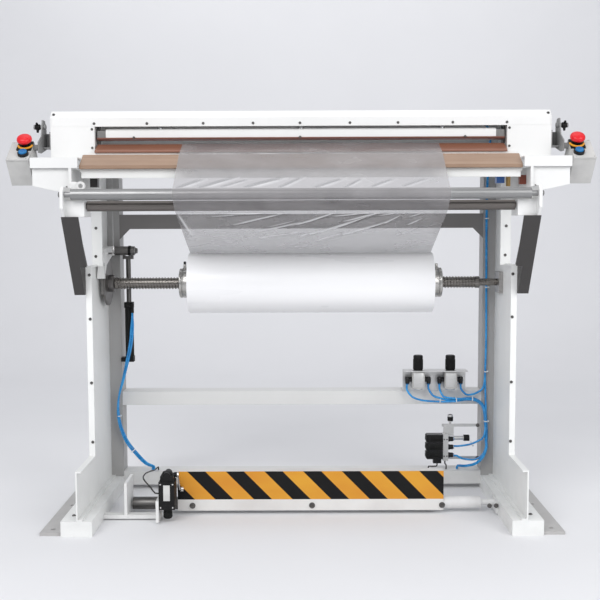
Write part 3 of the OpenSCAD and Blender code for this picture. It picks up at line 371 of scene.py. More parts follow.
for node, mat in MATERIALS.items():
    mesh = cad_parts[node].data
    mesh.materials.clear()
    mesh.materials.append(mat)


# --- mesh helpers, in millimetres ---

def turned(axis):
    """Rotation that takes +Z to the given axis."""
    return Vector((0, 0, 1)).rotation_difference(Vector(axis).normalized()).to_matrix()


def lathe(bm, profile, at=(0, 0, 0), axis=(0, 0, 1), seg=24):
    """A turned form from [(radius, height)]; a radius of 0 closes it to a point."""
    m = turned(axis)
    rings = []
    for r, h in profile:
        if r < 1e-6:
            rings.append([bm.verts.new(m @ Vector((0, 0, h)) + Vector(at))])
        else:
            rings.append([bm.verts.new(m @ Vector((
                r * math.cos(2 * math.pi * k / seg), r * math.sin(2 * math.pi * k / seg), h))
                + Vector(at))
                for k in range(seg)])
    for a, b in zip(rings, rings[1:]):
        for k in range(seg):
            j = (k + 1) % seg
            if len(a) == 1 and len(b) == 1:
                continue
            if len(a) == 1:
                bm.faces.new((a[0], b[j], b[k]))
            elif len(b) == 1:
                bm.faces.new((a[k], a[j], b[0]))
            else:
                bm.faces.new((a[k], a[j], b[j], b[k]))


def block(bm, lo, hi, bevel=1.0, seg=2, turn=None, about=(0, 0, 0)):
    """A block with rounded edges, turned about a point where a turn is given."""
    part = bmesh.new()
    bmesh.ops.create_cube(part, size=1)
    size = Vector(hi) - Vector(lo)
    mid = (Vector(hi) + Vector(lo)) / 2
    for v in part.verts:
        v.co = Vector((v.co.x * size.x, v.co.y * size.y, v.co.z * size.z)) + mid
    bmesh.ops.bevel(part, geom=list(part.edges), offset=min(bevel, min(size) * 0.45),
                    segments=seg, profile=0.5, affect="EDGES")
    if turn is not None:
        for v in part.verts:
            v.co = turn @ (v.co - Vector(about)) + Vector(about)
    add(bm, part)


def add(bm, part):
    """Copies one mesh into another and frees it."""
    mesh = bpy.data.meshes.new("part")
    part.to_mesh(mesh)
    part.free()
    bm.from_mesh(mesh)
    bpy.data.meshes.remove(mesh)


def smooth_path(points, step):
    """Catmull-Rom through the points, sampled about every step."""
    p = [Vector(q) for q in points]
    out = []
    for i in range(len(p) - 1):
        a, b, c, d = p[max(i - 1, 0)], p[i], p[i + 1], p[min(i + 2, len(p) - 1)]
        n = max(2, int((c - b).length / step))
        for k in range(n):
            t = k / n
            out.append(0.5 * (2 * b + (c - a) * t + (2 * a - 5 * b + 4 * c - d) * t * t
                              + (3 * b - a - 3 * c + d) * t ** 3))
    out.append(p[-1])
    return out


def frames(path):
    """Tangent and two normals at each point, carried along without twist."""
    out, normal = [], None
    for i in range(len(path)):
        t = (path[min(i + 1, len(path) - 1)] - path[max(i - 1, 0)]).normalized()
        if normal is None:
            normal = t.orthogonal().normalized()
        normal = (normal - t * normal.dot(t)).normalized()
        out.append((t, normal, t.cross(normal)))
    return out


def tube(bm, path, radius, sides=12):
    """A closed tube along a path; the radius may be a function of the share of its length."""
    rings = []
    for p, (_, u, v) in zip(path, frames(path)):
        r = radius(len(rings) / (len(path) - 1)) if callable(radius) else radius
        rings.append([bm.verts.new(p + r * (math.cos(2 * math.pi * k / sides) * u
                                            + math.sin(2 * math.pi * k / sides) * v))
                      for k in range(sides)])
    for a, b in zip(rings, rings[1:]):
        for k in range(sides):
            j = (k + 1) % sides
            bm.faces.new((a[k], a[j], b[j], b[k]))
    bm.faces.new(rings[0][::-1])
    bm.faces.new(rings[-1])


def piece(name, bm, mat, body, stands_for=()):
    """Finishes a mesh made in millimetres and hangs it on its body."""
    bmesh.ops.recalc_face_normals(bm, faces=bm.faces)
    for v in bm.verts:
        v.co *= MM
    mesh = bpy.data.meshes.new(name)
    bm.to_mesh(mesh)
    bm.free()
    mesh.materials.append(mat)
    mesh.shade_smooth()
    mesh.set_sharp_from_angle(angle=math.radians(38))
    obj = bpy.data.objects.new(name, mesh)
    bpy.context.scene.collection.objects.link(obj)
    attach(obj, body)
    if stands_for:
        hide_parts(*stands_for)
    return obj


# --- screws and bolts ---

def cap_screw(bm, at, axis, r=4.0, h=2.6):
    """Button-head screw with a hexagon socket."""
    lathe(bm, [(r, 0), (r, h * 0.35), (r * 0.92, h * 0.7), (r * 0.7, h), (r * 0.5, h),
               (r * 0.42, h * 0.25), (0, h * 0.2)], at, axis, seg=18)


def hex_bolt(bm, at, axis, r=6.5, h=4.5):
    """Hexagon head on its washer."""
    base = 1.4
    lathe(bm, [(r * 1.25, 0), (r * 1.25, 1.1), (r * 1.15, base), (0, base)], at, axis, seg=24)
    lathe(bm, [(r, base), (r, base + h * 0.82), (r * 0.86, base + h), (0, base + h)],
          at, axis, seg=6)


bm = bmesh.new()
for x in (-551, -410, -260, -127, -2, 131, 259, 405, 549):
    cap_screw(bm, (x, -30, 1055), FRONT, 3.6, 2.4)
for x, z in ((-557, 991), (556, 992), (-557, 1040), (556, 1040)):
    cap_screw(bm, (x, -30, z), FRONT, 3.4, 2.2)
for side in (-1, 1):
    cap_screw(bm, (side * 660, -22, 1079.4), (0, -0.77, 0.64), 4, 2.6)
for x, z in ((-560, 654), (-560, 537), (-560, 366), (-560, 206),
             (558, 653), (558, 539), (558, 365), (558, 205)):
    cap_screw(bm, (x, -85, z), FRONT, 4, 2.6)
for x, z in ((-558, 777), (-560, 700), (557, 779), (555, 700)):
    cap_screw(bm, (x, 0, z), FRONT, 4, 2.6)
for x in (-587, 587):
    cap_screw(bm, (x, -200, 40), (0, 0, 1), 5, 3)
piece("cover_screws", bm, screw_steel, "root")

bm = bmesh.new()
for x in (-446, -2, 439):
    cap_screw(bm, (x, -26, 1018), FRONT, 3.4, 2.2)
piece("jaw_screws", bm, screw_steel, "upper_jaw")

bm = bmesh.new()
for side in (-1, 1):
    hex_bolt(bm, (side * 594, -230, 861), (side, 0, 0), 7, 5)
    for y, z in ((-165, 880), (-165, 826)):
        cap_screw(bm, (side * 594, y, z), (side, 0, 0), 5, 3)
piece("bracket_bolts", bm, screw_steel, "root")

bm = bmesh.new()
for x in (-298, 27, 380):
    hex_bolt(bm, (x, -60, 24), FRONT, 6.5, 4.5)
    lathe(bm, [(3.2, 0), (3.2, 3), (2.4, 4), (0, 4)], (x, -65.5, 24), FRONT, seg=12)
piece("treadle_bolts", bm, screw_steel, "treadle")

bm = bmesh.new()
for x in (506, 524):
    hex_bolt(bm, (x, -75, 26), FRONT, 5, 4)
piece("pivot_bolts", bm, screw_steel, "root")


# --- mandrel: a coarse thread cut along the shaft ---

def thread(bm, x0, x1, root, crest, pitch):
    """Trapezoidal thread as a helicoid skin around the X axis at the mandrel."""
    seg = 36
    shape = ((0.0, root), (0.22, root), (0.36, crest), (0.64, crest), (0.78, root))
    rows = []
    turns = (x1 - x0) / pitch
    for t in range(int(turns)):
        for at, r in shape:
            rows.append((t + at, r))
    rows.append((int(turns), root))
    rings = []
    for at, r in rows:
        ring = []
        for k in range(seg):
            a = 2 * math.pi * k / seg
            x = x0 + (at + k / seg) * pitch
            ring.append(bm.verts.new((min(x, x1), MANDREL_Y + r * math.cos(a),
                                      MANDREL_Z + r * math.sin(a))))
        rings.append(ring)
    for i in range(len(rings) - 1):
        for k in range(seg - 1):
            bm.faces.new((rings[i][k], rings[i][k + 1], rings[i + 1][k + 1], rings[i + 1][k]))
        up = i + len(shape)
        if up + 1 < len(rings):
            bm.faces.new((rings[i][seg - 1], rings[up][0], rings[up + 1][0], rings[i + 1][seg - 1]))


bm = bmesh.new()
thread(bm, x0=-529, x1=504, root=14.2, crest=16.8, pitch=8.5)
lathe(bm, [(0, -584), (9.2, -584), (10, -582.5), (10, -530), (14, -530), (16.5, -528), (16.5, -520),
           (14.4, -519), (14.4, 492), (16.5, 493), (16.5, 503), (14, 505), (10, 505),
           (10, 582.5), (9.2, 584), (0, 584)], (0, MANDREL_Y, MANDREL_Z), (1, 0, 0), seg=36)
piece("threaded_mandrel", bm, thread_steel, "mandrel",
      stands_for=("mandrel_shaft",))


STUD_OUT = 13.5  # from the roll's end to the clamp stud


def collar(name, face, out, body, node):
    """Clamping collar: chamfered ring, a shoulder in the core, a groove, a stud and screws."""
    bm = bmesh.new()
    lathe(bm, [(16.6, -15), (36.6, -15), (37.6, -14), (37.6, 0), (41, 0), (42, 1), (42, 16),
               (41, 17.5), (38.5, 17.5), (38.5, 19), (41, 19), (42, 20.5), (42, 25.5),
               (40.5, 27), (22, 27), (21, 26), (16.6, 26)],
          (face, MANDREL_Y, MANDREL_Z), (out, 0, 0), seg=56)
    lathe(bm, [(5.6, -3), (5.6, 1.5), (4, 2), (4, 10), (3.4, 11.4), (0, 11.4)],
          (face + out * STUD_OUT, MANDREL_Y, 662), (0, 0, 1), seg=18)
    for a in (35, 155, 275):
        d = Vector((0, math.cos(math.radians(a)), math.sin(math.radians(a))))
        cap_screw(bm, Vector((face + out * 8, MANDREL_Y, MANDREL_Z)) + d * 41.2, d, 4.2, 1.0)
    piece(name, bm, collar_steel, body, stands_for=(node,))


collar("left_clamp_collar", FILM_LEFT, -1, "left_collar", "left_collar")
collar("right_clamp_collar", FILM_RIGHT, 1, "right_collar", "right_collar")

bm = bmesh.new()
lathe(bm, [(3.6, 0), (3.6, 7), (2.6, 8), (0, 8)], (FILM_LEFT - STUD_OUT, MANDREL_Y, 673.2), seg=12)
piece("collar_grip", bm, black_gloss, "left_collar")


# --- emergency stops, buttons and their boxes ---

BOX = Matrix.Translation((0, -115, 955)) @ Matrix.Rotation(math.radians(38), 4, "X")


def boxed(bm, side):
    """Moves what was drawn in the right box's own frame to that box, or to the left one."""
    for v in bm.verts:
        v.co = BOX @ v.co
        v.co.x *= side
    return bm


for side, word in SIDES:
    bm = bmesh.new()
    lathe(bm, [(0, 17), (13.5, 17), (17.4, 18), (19.4, 20.4), (19.8, 23.6), (19, 27), (17, 29.8),
               (13.8, 31.8), (9.6, 33), (5, 33.5), (0, 33.6)], STOP_AT, seg=48)
    lathe(bm, [(6, -22), (6, 17)], STOP_AT, seg=20)
    piece(f"{word}_mushroom", boxed(bm, side), red_cap, f"{word}_estop",
          stands_for=(f"{word}_estop",))
    bm = bmesh.new()
    lathe(bm, [(8, 17), (8, 12), (11, 11.6), (11, 5.2), (18.5, 5.2), (19.6, 6.0), (20.2, 5),
               (20.2, 4)], STOP_AT, seg=40)
    block(bm, (706.4, 40.4, 0.1), (743.6, 77.6, 5.3), 2.2, 3)
    piece(f"{word}_stop_body", boxed(bm, side), black_matt, "root")
    bm = bmesh.new()
    path = [Vector((STOP_AT[0] + 18.6 * math.cos(math.radians(a)),
                    STOP_AT[1] + 18.6 * math.sin(math.radians(a)), 7.2))
            for a in range(190, 352, 6)]
    tube(bm, path, 2.6, 10)
    piece(f"{word}_stop_crescent", boxed(bm, side), yellow_ring, "root")
    bm = bmesh.new()
    lathe(bm, [(0, 6), (10.2, 6), (11, 7), (11, 10.4), (10, 12), (8.6, 12.2), (0, 11.4)],
          BUTTON_AT, seg=40)
    lathe(bm, [(5, -22), (5, 6)], BUTTON_AT, seg=20)
    piece(f"{word}_start_cap", boxed(bm, side), blue_cap, f"{word}_push_button",
          stands_for=(f"{word}_push_button",))
    bm = bmesh.new()
    lathe(bm, [(11.4, 3), (11.4, 8.2), (12.2, 9), (13.2, 8.6), (14, 7), (14.2, 2), (14.2, 0.1)],
          BUTTON_AT, seg=40)
    piece(f"{word}_start_rim", boxed(bm, side), black_gloss, "root")

for side, word in SIDES:
    bm = bmesh.new()
    for x, y in ((711, 5), (759, 5), (759, 77)):
        cap_screw(bm, (x, y, 0), (0, 0, 1), 2.4, 1.2)
    piece(f"{word}_lid_screws", boxed(bm, side), bright_steel, "root")


# Wing knobs of the box brackets
bm = bmesh.new()
for side in (-1, 1):
    c = Vector((side * 714, -12, 1048))
    lathe(bm, [(4, -16), (7.5, -14), (8, -4), (6, 0), (5, 2), (0, 2)], c, (side, 0, 0), seg=20)
    for a in (20, 140, 260):
        d = Vector((0, math.cos(math.radians(a)), math.sin(math.radians(a))))
        path = [c + Vector((-8 * side, 0, 0)) + d * t for t in (4, 8, 12, 15)]
        tube(bm, path, lambda t: 4.4 - 1.6 * t, 10)
piece("wing_knobs", bm, black_matt, "root")


# --- regulators and valves ---

for word, x in zip(("left", "right"), REGULATORS_X):
    bm = bmesh.new()
    profile = [(6.1, 359.2), (12.8, 359.2), (13.6, 360.6), (13.6, 392), (13.9, 393), (13.9, 399.5),
               (12.6, 402.4), (11, 403), (0, 403)]
    lathe(bm, profile, (x, REGULATOR_Y, 0), seg=36)
    for k in range(24):
        a = 2 * math.pi * k / 24
        block(bm, (x + 13.0, REGULATOR_Y - 0.9, 362), (x + 14.6, REGULATOR_Y + 0.9, 391), 0.5, 1,
              Matrix.Rotation(a, 3, "Z"), (x, REGULATOR_Y, 0))
    piece(f"{word}_knurled_knob", bm, black_matt, f"{word}_regulator_knob",
          stands_for=(f"{word}_regulator_knob",))

# Push-in fittings: black elbows with a blue release ring
PORT_Z = 331
fit_bm, ring_bm = bmesh.new(), bmesh.new()
for x in REGULATORS_X:
    for side in (-1, 1):
        c = Vector((x + side * 31, REGULATOR_Y, PORT_Z))
        lathe(fit_bm, [(5.4, -2), (7.2, -1), (7.2, 6), (5.4, 7)],
              (x + side * 19.5, REGULATOR_Y, PORT_Z), (side, 0, 0), seg=6)
        lathe(fit_bm, [(0, 8), (4.6, 8), (6.6, 5.6), (6.8, -2), (6.4, -9), (5.8, -12)], c, seg=20)
        lathe(fit_bm, [(5.6, 0), (5.6, 9)], (x + side * 24, REGULATOR_Y, PORT_Z), (side, 0, 0),
              seg=16)
        lathe(ring_bm, [(4.2, 0), (5.2, 0), (5.2, -2.2), (4.2, -2.6), (3.2, -2.6)],
              c + Vector((0, 0, -12)), seg=20)
for k in range(3):
    c = Vector((431, 186, 102 + 24 * k))
    lathe(fit_bm, [(6.2, 0), (8, 1), (8, 6), (7.2, 7), (7.2, 14), (6.4, 16), (3.4, 16)], c,
          (1, 0, 0), seg=20)
    lathe(ring_bm, [(3.6, 0), (5.4, 0), (5.4, 2.4), (3.4, 2.8)], c + Vector((16, 0, 0)),
          (1, 0, 0), seg=20)
piece("push_in_fittings", fit_bm, black_gloss, "root")
piece("release_rings", ring_bm, blue_cap, "root")

bm = bmesh.new()
for x in REGULATORS_X:
    block(bm, (x - 14.5, 150.6, 309), (x + 14.5, 152.2, 352), 1.2, 2)
    for dx in (-15.4, 15.4):
        for z in (311, 350):
            cap_screw(bm, (x + dx, 152, z), FRONT, 1.9, 1.2)
    lathe(bm, [(15.8, 306.4), (15.8, 303.5), (13, 301), (0, 301)], (x, REGULATOR_Y, 0), seg=28)
piece("regulator_faces", bm, aluminium, "root")

bm = bmesh.new()
for k in range(3):
    z = 92 + 25 * k
    block(bm, (366, 172.6, z + 2), (374, 203.4, z + 21), 1.6, 2)
    block(bm, (378, 173.2, z + 3), (412, 174.4, z + 20), 1.0, 2)
    lathe(bm, [(3.2, 0), (3.2, 2), (2.2, 2.6), (0, 2.6)], (395, 173.4, z + 11.5), FRONT, seg=16)
    lathe(bm, [(4.4, 0), (4.4, 4), (3.2, 5), (0, 5)], (369.4, 188, z + 11.5), (-1, 0, 0), seg=18)
piece("solenoid_caps", bm, black_matt, "root")

bm = bmesh.new()
lathe(bm, [(9, 0), (9.4, 1), (9.4, 16), (8.6, 17.6), (0, 17.6)], (478.3, 192, 152), (1, 0, 0),
      seg=28)
lathe(bm, [(5, 0), (8.2, 2), (8.6, 12), (7, 19), (4, 21), (0, 21)], (440, 197, 200.6), seg=28)
piece("silencer", bm, black_matt, "root")

bm = bmesh.new()
for x, z in ((420, 100), (420, 150), (428, 100), (428, 150)):
    cap_screw(bm, (x, 178, z), FRONT, 2.2, 1.4)
for z in (90, 188):
    hex_bolt(bm, (522, 200, z), FRONT, 4.5, 3.4)
piece("manifold_screws", bm, screw_steel, "root")


# --- limit switch details ---

bm = bmesh.new()
block(bm, (-364.5, -147.1, 62), (-347, -145.9, 104), 1.0, 2)
piece("switch_label", bm, label_white, "root")
bm = bmesh.new()
for x in (-372, -340):
    for z in (44, 106):
        cap_screw(bm, (x, -146, z), FRONT, 2.4, 1.4)
piece("switch_screws", bm, bright_steel, "root")
bm = bmesh.new()
lathe(bm, [(11, 40), (12.4, 38), (12.4, 33), (10, 31.5), (10, 29), (11.4, 28), (11.4, 13),
           (9.4, 10), (5, 9), (0, 9)], (SWITCH_X, -124, 0), seg=28)
for k in range(16):
    a = 2 * math.pi * k / 16
    block(bm, (SWITCH_X + 10.8, -124.8, 14), (SWITCH_X + 12.1, -123.2, 27), 0.4, 1,
          Matrix.Rotation(a, 3, "Z"), (SWITCH_X, -124, 0))
lathe(bm, [(14, 126), (14.4, 130), (12.6, 134.2), (8, 136), (0, 136)], (SWITCH_X, -121, 0), seg=32)
piece("switch_gland", bm, black_matt, "root")


# --- brake details ---

bm = bmesh.new()
hex_bolt(bm, (-478, BRAKE_Y, BRAKE_Z), (1, 0, 0), 7.5, 5)
cap_screw(bm, (-552, 21.6, 690), FRONT, 3.4, 2.2)
piece("brake_bolts", bm, screw_steel, "brake_lever")
bm = bmesh.new()
lathe(bm, [(13.6, -498), (14.6, -497), (14.6, -491), (13.6, -490)], (0, BRAKE_Y, BRAKE_Z),
      (1, 0, 0), seg=32)
block(bm, (-559, 33, 671), (-545, 56, 682), 1.6, 2)
piece("brake_shoe_rubber", bm, black_matt, "brake_lever")


# --- air tubes ---

def offset_path(points, across, twist, step=9):
    """A route beside the given one: across is (u, v) in millimetres, turned by twist per metre."""
    path = smooth_path(points, step)
    out, run = [], 0.0
    for i, (p, (_, u, v)) in enumerate(zip(path, frames(path))):
        if i:
            run += (p - path[i - 1]).length
        ease = min(1, run / 40)
        a = math.radians(twist * run / 1000)
        du = across[0] * math.cos(a) - across[1] * math.sin(a)
        dv = across[0] * math.sin(a) + across[1] * math.cos(a)
        out.append(p + u * du * ease + v * dv * ease)
    return out


def cord(name, path, radius, mat, stands_for=()):
    """A free cord as a round curve along a path in millimetres."""
    curve = bpy.data.curves.new(name, "CURVE")
    curve.dimensions = "3D"
    curve.bevel_depth = radius * MM
    curve.bevel_resolution = 3
    curve.use_fill_caps = True
    spline = curve.splines.new("POLY")
    spline.points.add(len(path) - 1)
    for q, p in zip(spline.points, path):
        q.co = (*(p * MM), 1)
    spline.use_smooth = True
    curve.materials.append(mat)
    obj = bpy.data.objects.new(name, curve)
    bpy.context.scene.collection.objects.link(obj)
    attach(obj, "root")
    if stands_for:
        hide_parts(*stands_for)


# Routes, given in millimetres
LEFT_TUBE = [(-493, 167, 529.7), (-493, 167, 515), (-494, 163, 480), (-500, 162, 430),
             (-520, 166, 345), (-538, 170, 277), (-538, 172, 211), (-518, 174, 151),
             (-486, 178, 106), (-462, 188, 78), (-445, 205, 65), (-445, 205, 54.3)]
RISER = [(492, 174, 284), (515, 177, 287), (536, 179, 305), (541, 180, 345), (543, 181, 445),
         (541, 181, 620), (538, 180, 810), (538, 178, 900), (537, 160, 985), (530, 110, 1040),
         (500, 70, 1066), (450, 20, 1068), (428, 8, 1066), (410.4, 8, 1066)]
BUNDLE = [(383, 163, 271), (436, 166, 269), (485, 172, 273), (515, 176, 268), (537, 178, 245),
          (543, 178, 200), (543, 176, 150), (534, 172, 112), (510, 172, 94), (475, 184, 94),
          (460, 186, 102), (448.3, 186, 102)]
BRANCH = [(542, 169, 182), (536, 168, 160), (520, 170, 146), (495, 174, 134), (464, 186, 126),
          (448.3, 186, 126)]
SUPPLY = [(543, 168, 150), (543, 162, 130), (533, 160, 102), (512, 164, 80), (484, 182, 68),
          (463, 206, 63), (463, 206, 54.3)]
ELBOWS = ([(309, 168, 317.7), (309, 168, 302), (325, 164, 284), (349, 163, 275)],
          [(371, 168, 317.7), (371, 168, 304), (382, 160, 286), (400, 156, 279)],
          [(403, 168, 317.7), (403, 168, 304), (411, 167, 286), (424, 168, 278)],
          [(465, 168, 317.7), (465, 168, 304), (474, 166, 291), (486, 166, 283)])

LEFT_TUBE_R, RIGHT_TUBE_R = 2.9, 3.0
for k, side in enumerate((-1, 1)):
    route = offset_path(LEFT_TUBE, (side * LEFT_TUBE_R, 0), 500)
    cord(f"left_tube_{k + 1}", route, LEFT_TUBE_R, blue_tube,
         ("left_air_tube",) if k == 0 else ())
tubes = (
    ("supply_tube_1", ELBOWS[0] + BUNDLE[:6] + SUPPLY, (2.9, 2.9)),
    ("supply_tube_2", ELBOWS[1] + BUNDLE[1:], (-2.9, 2.9)),
    ("supply_tube_3", ELBOWS[2] + BUNDLE[2:6] + BRANCH[1:], (2.9, -2.9)),
    ("riser_tube_1", SUPPLY[::-1] + [(543, 176, 230)] + RISER[3:], (2.7, 0)),
    ("riser_tube_2", ELBOWS[3] + RISER[1:], (-2.7, 0)),
)
for k, (name, route, across) in enumerate(tubes):
    cord(name, offset_path(route, across, 200), RIGHT_TUBE_R, blue_tube,
         ("right_air_tubes",) if k == 0 else ())


def cable_tie(bm, at, axis, r):
    """A strap round a bundle, with its lock."""
    lathe(bm, [(r, -1.4), (r + 0.9, -1.4), (r + 0.9, 1.4), (r, 1.4), (r, -1.4)], at, axis, seg=20)
    u = Vector(axis).orthogonal().normalized()
    block(bm, Vector(at) + u * (r + 1) - Vector((2.2, 2.2, 2.2)),
          Vector(at) + u * (r + 1) + Vector((2.2, 2.2, 2.2)), 0.6, 1)


bm = bmesh.new()
for at, axis, r in (((452, 167, 270), (1, 0, 0.1), 7.2), ((500, 174, 272), (1, 0, -0.1), 7.2),
                    ((543, 178, 205), (0, 0, 1), 7.4), ((541.5, 180, 352), (0, 0, 1), 5.6),
                    ((502, 174, 137), (1, 0.1, 0.4), 6.4), ((404, 164, 270), (1, 0, 0), 6.4),
                    ((542, 181, 600), (0, 0, 1), 5.6), ((538.5, 180, 800), (0, 0, 1), 5.6),
                    ((-538, 172, 225), (0, 0, 1), 5.6), ((-498, 176, 121), (0.6, 0, -0.8), 5.6)):
    cable_tie(bm, at, axis, r)
piece("cable_ties", bm, tie_clear, "root")

SWITCH_CABLE = [(-377.3, -120, 76), (-390, -120, 76), (-405, -100, 86), (-430, -60, 98),
                (-436, 0, 96), (-436, 90, 80), (-434, 160, 66), (-430, 206, 63), (-430, 206, 54.3)]
VALVE_CABLE = [(400, 188, 77.7), (400, 190, 68), (388, 200, 64), (378, 208, 62), (378, 208, 54.3)]
MANIFOLD_CABLE = [(424, 188, 85.7), (424, 190, 76), (430, 204, 66), (430, 206, 54.3)]
cord("switch_cable", smooth_path(SWITCH_CABLE, 9), 2.0, cable_black,
     ("thin_cables",))
cord("valve_cable", smooth_path(VALVE_CABLE, 5), 2.0, cable_black)
cord("manifold_cable", smooth_path(MANIFOLD_CABLE, 5), 2.0, cable_black)
BRAKE_WIRE = [(WIRE_X, WIRE_Y, z) for z in (726.3, 760, 860, 922)]
cord("brake_wire", smooth_path(BRAKE_WIRE, 12), 1.3, wire_steel)
bm = bmesh.new()
lathe(bm, [(4.5, -1.6), (5.2, -2.6), (7.2, -2.6), (8, -1.6), (8, 1.6), (7.2, 2.6), (5.2, 2.6),
           (4.5, 1.6), (4.5, -1.6)], (WIRE_X, WIRE_Y, 706), (1, 0, 0), seg=28)
lathe(bm, [(2.2, 6), (3.4, 7), (3.4, 18), (2.6, 20.4), (1.4, 20.4)], (WIRE_X, WIRE_Y, 706), seg=18)
piece("wire_eye", bm, bright_steel, "root")


# --- film ---

# What the film passes: (y, z) of its centre, radius and the side: roll, second and front
# roller, then the jaw cover's brow and the front edge of the seal face
CIRCLES = (((MANDREL_Y, MANDREL_Z), 85, 1), ((-190, 833), 13, -1), ((-230, 861), 14, -1),
           ((-98, 968), 0, -1), ((-15, 1002), 0, -1))
SKIN = 0.55  # how far the film lies off what it passes


def film_path(step):
    """Points (y, z) along the film, each with its normal, the run so far, how free the film is
    there and how long its free stretch is."""
    r = [s * (rad + SKIN) for _, rad, s in CIRCLES]
    c = [Vector(p) for p, _, _ in CIRCLES]
    normals = []
    for i in range(len(c) - 1):
        d = c[i + 1] - c[i]
        u = d.normalized()
        s = (r[i] - r[i + 1]) / d.length
        normals.append(u * s + Vector((u.y, -u.x)) * math.sqrt(1 - s * s))
    first = normals[0]
    a = math.radians(25)
    normals.insert(0, Vector((first.x * math.cos(a) + first.y * math.sin(a),
                              first.y * math.cos(a) - first.x * math.sin(a))))
    normals.append(Vector((0, -1)))
    held = []
    for i in range(len(c)):
        m = 8 if CIRCLES[i][1] else 3
        for k in range(m + 1):
            n = (normals[i] * (1 - k / m) + normals[i + 1] * k / m).normalized()
            held.append((c[i] + r[i] * n, n * (1 if r[i] > 0 else -1)))
    held.append((Vector((22, 1002.55)), Vector((0, 1))))
    out, s = [], 0.0
    for (p, n), (q, m) in zip(held, held[1:]):
        gap = (q - p).length
        k = max(1, int(gap / step))
        for j in range(k):
            t = j / k
            free = 4 * t * (1 - t) if gap > 30 else 0.0
            out.append((p.lerp(q, t), n.lerp(m, t).normalized(), s + gap * t, free, gap))
        s += gap
    out.append((*held[-1], s, 0.0, 0.0))
    return out


path = film_path(3.0)


def depth(y, z):
    """Distance in front of the camera."""
    return TILT_COS * ((y + CAMERA_D) + (CAMERA_Z - z) * TILT_TAN)


def on_film(px, py, lo, hi):
    """The point of the film, between path indices lo and hi, that shows at this pixel."""
    def row(i):
        y, z = path[i][0]
        return CENTRE_Y + FOCAL * (CAMERA_Z - z) / depth(y, z)

    best = min(range(lo, hi), key=lambda i: abs(row(i) - py))
    return CAMERA_X + (px - CENTRE_X) * depth(*path[best][0]) / FOCAL, path[best][2]


def nearest(y, z):
    """Index of the path's point nearest to a place."""
    return min(range(len(path)), key=lambda i: (path[i][0] - Vector((y, z))).length)


# First and last path index of three stretches: from the roll, from the rollers, over the jaw
LOWER = nearest(60, 690), nearest(-178, 826)
MIDDLE = nearest(-230, 876), nearest(-100, 966)
UPPER = nearest(-98, 969), nearest(-18, 1002)
# Creases, placed one by one: x and y of both ends in the photograph's pixels, then height and half
# width in millimetres before the factors below. Below zero they sink in and are painted dark as
# shade; above zero they are painted white as highlights.
CREASES = []
for span, lines in (
    (LOWER, ((212, 216, 258, 204, 2.6, 3.0), (222, 213, 282, 200, 2.2, 3.0),
             (234, 224, 284, 212, 3.2, 3.2), (256, 231, 300, 222, 3.0, 3.0),
             (266, 227, 296, 220, 2.0, 2.4), (290, 226, 334, 208, 3.6, 3.0),
             (302, 236, 380, 212, 3.8, 3.4), (320, 240, 394, 220, 3.0, 3.6),
             (332, 216, 368, 203, 2.8, 2.6), (344, 221, 378, 206, 3.0, 2.8),
             (362, 210, 382, 204, 1.6, 2.0), (378, 216, 398, 209, 2.8, 2.2),
             (386, 222, 402, 215, 2.6, 2.2), (404, 210, 424, 203, 2.0, 2.0),
             (410, 217, 424, 213, 2.6, 2.2), (408, 225, 422, 219, 2.8, 2.2),
             (398, 235, 418, 228, 2.6, 2.4), (350, 234, 372, 227, 2.0, 2.4),
             (182, 205, 216, 212, 2.0, 2.6), (178, 206, 192, 234, 2.4, 3.0),
             (262, 238, 300, 232, 2.0, 3.6), (226, 208, 262, 206, 1.4, 2.2))),
    (MIDDLE, ((178, 189, 200, 180, -2.4, 3.4), (200, 188, 232, 178, -2.6, 3.2),
              (246, 188, 280, 178, -2.8, 3.4), (280, 188, 300, 178, -2.0, 3.0),
              (316, 188, 340, 179, -2.2, 3.0), (346, 187, 360, 180, -1.8, 2.6),
              (372, 187, 392, 180, -1.8, 2.6), (404, 186, 426, 179, -1.6, 2.6),
              (222, 186, 246, 180, -1.6, 2.6))),
    (UPPER, ((190, 167, 216, 158, 1.5, 3.0), (214, 168, 246, 156, 1.8, 3.0),
             (250, 167, 284, 155, 1.8, 3.0), (286, 166, 300, 158, 1.2, 2.6),
             (330, 167, 350, 160, 1.2, 2.6), (300, 158, 322, 152, 1.0, 2.4))),
):
    for px0, py0, px1, py1, tall, wide in lines:
        CREASES.append((*on_film(px0, py0, *span), *on_film(px1, py1, *span), tall, wide, span))


CREASE_WIDTH, CREASE_HEIGHT = 1.35, 1.9  # factors on every crease
# The hollow beside each crease, as shares of its height and half width
TROUGH_DEPTH, TROUGH_AT, TROUGH_WIDTH = 0.45, 2.1, 1.6


def crease_height(x, s, i):
    """How far the creases lift the film at x and s along it, near path index i."""
    h = 0.0
    for x0, s0, x1, s1, tall, wide, span in CREASES:
        if not span[0] <= i <= span[1]:
            continue
        dx, ds = x1 - x0, s1 - s0
        l2 = dx * dx + ds * ds
        t = max(0.0, min(1.0, ((x - x0) * dx + (s - s0) * ds) / l2))
        wide *= CREASE_WIDTH
        gap = math.hypot(x - x0 - t * dx, s - s0 - t * ds)
        if gap > 5 * wide:
            continue
        end = math.sin(math.pi * (0.12 + 0.76 * t)) ** 0.8
        side = ((x - x0) * ds - (s - s0) * dx) / math.sqrt(l2)
        trough = math.exp(-((side - TROUGH_AT * wide) / (TROUGH_WIDTH * wide)) ** 2)
        h += CREASE_HEIGHT * tall * end * (math.exp(-(gap / wide) ** 2) - TROUGH_DEPTH * trough)
    return h


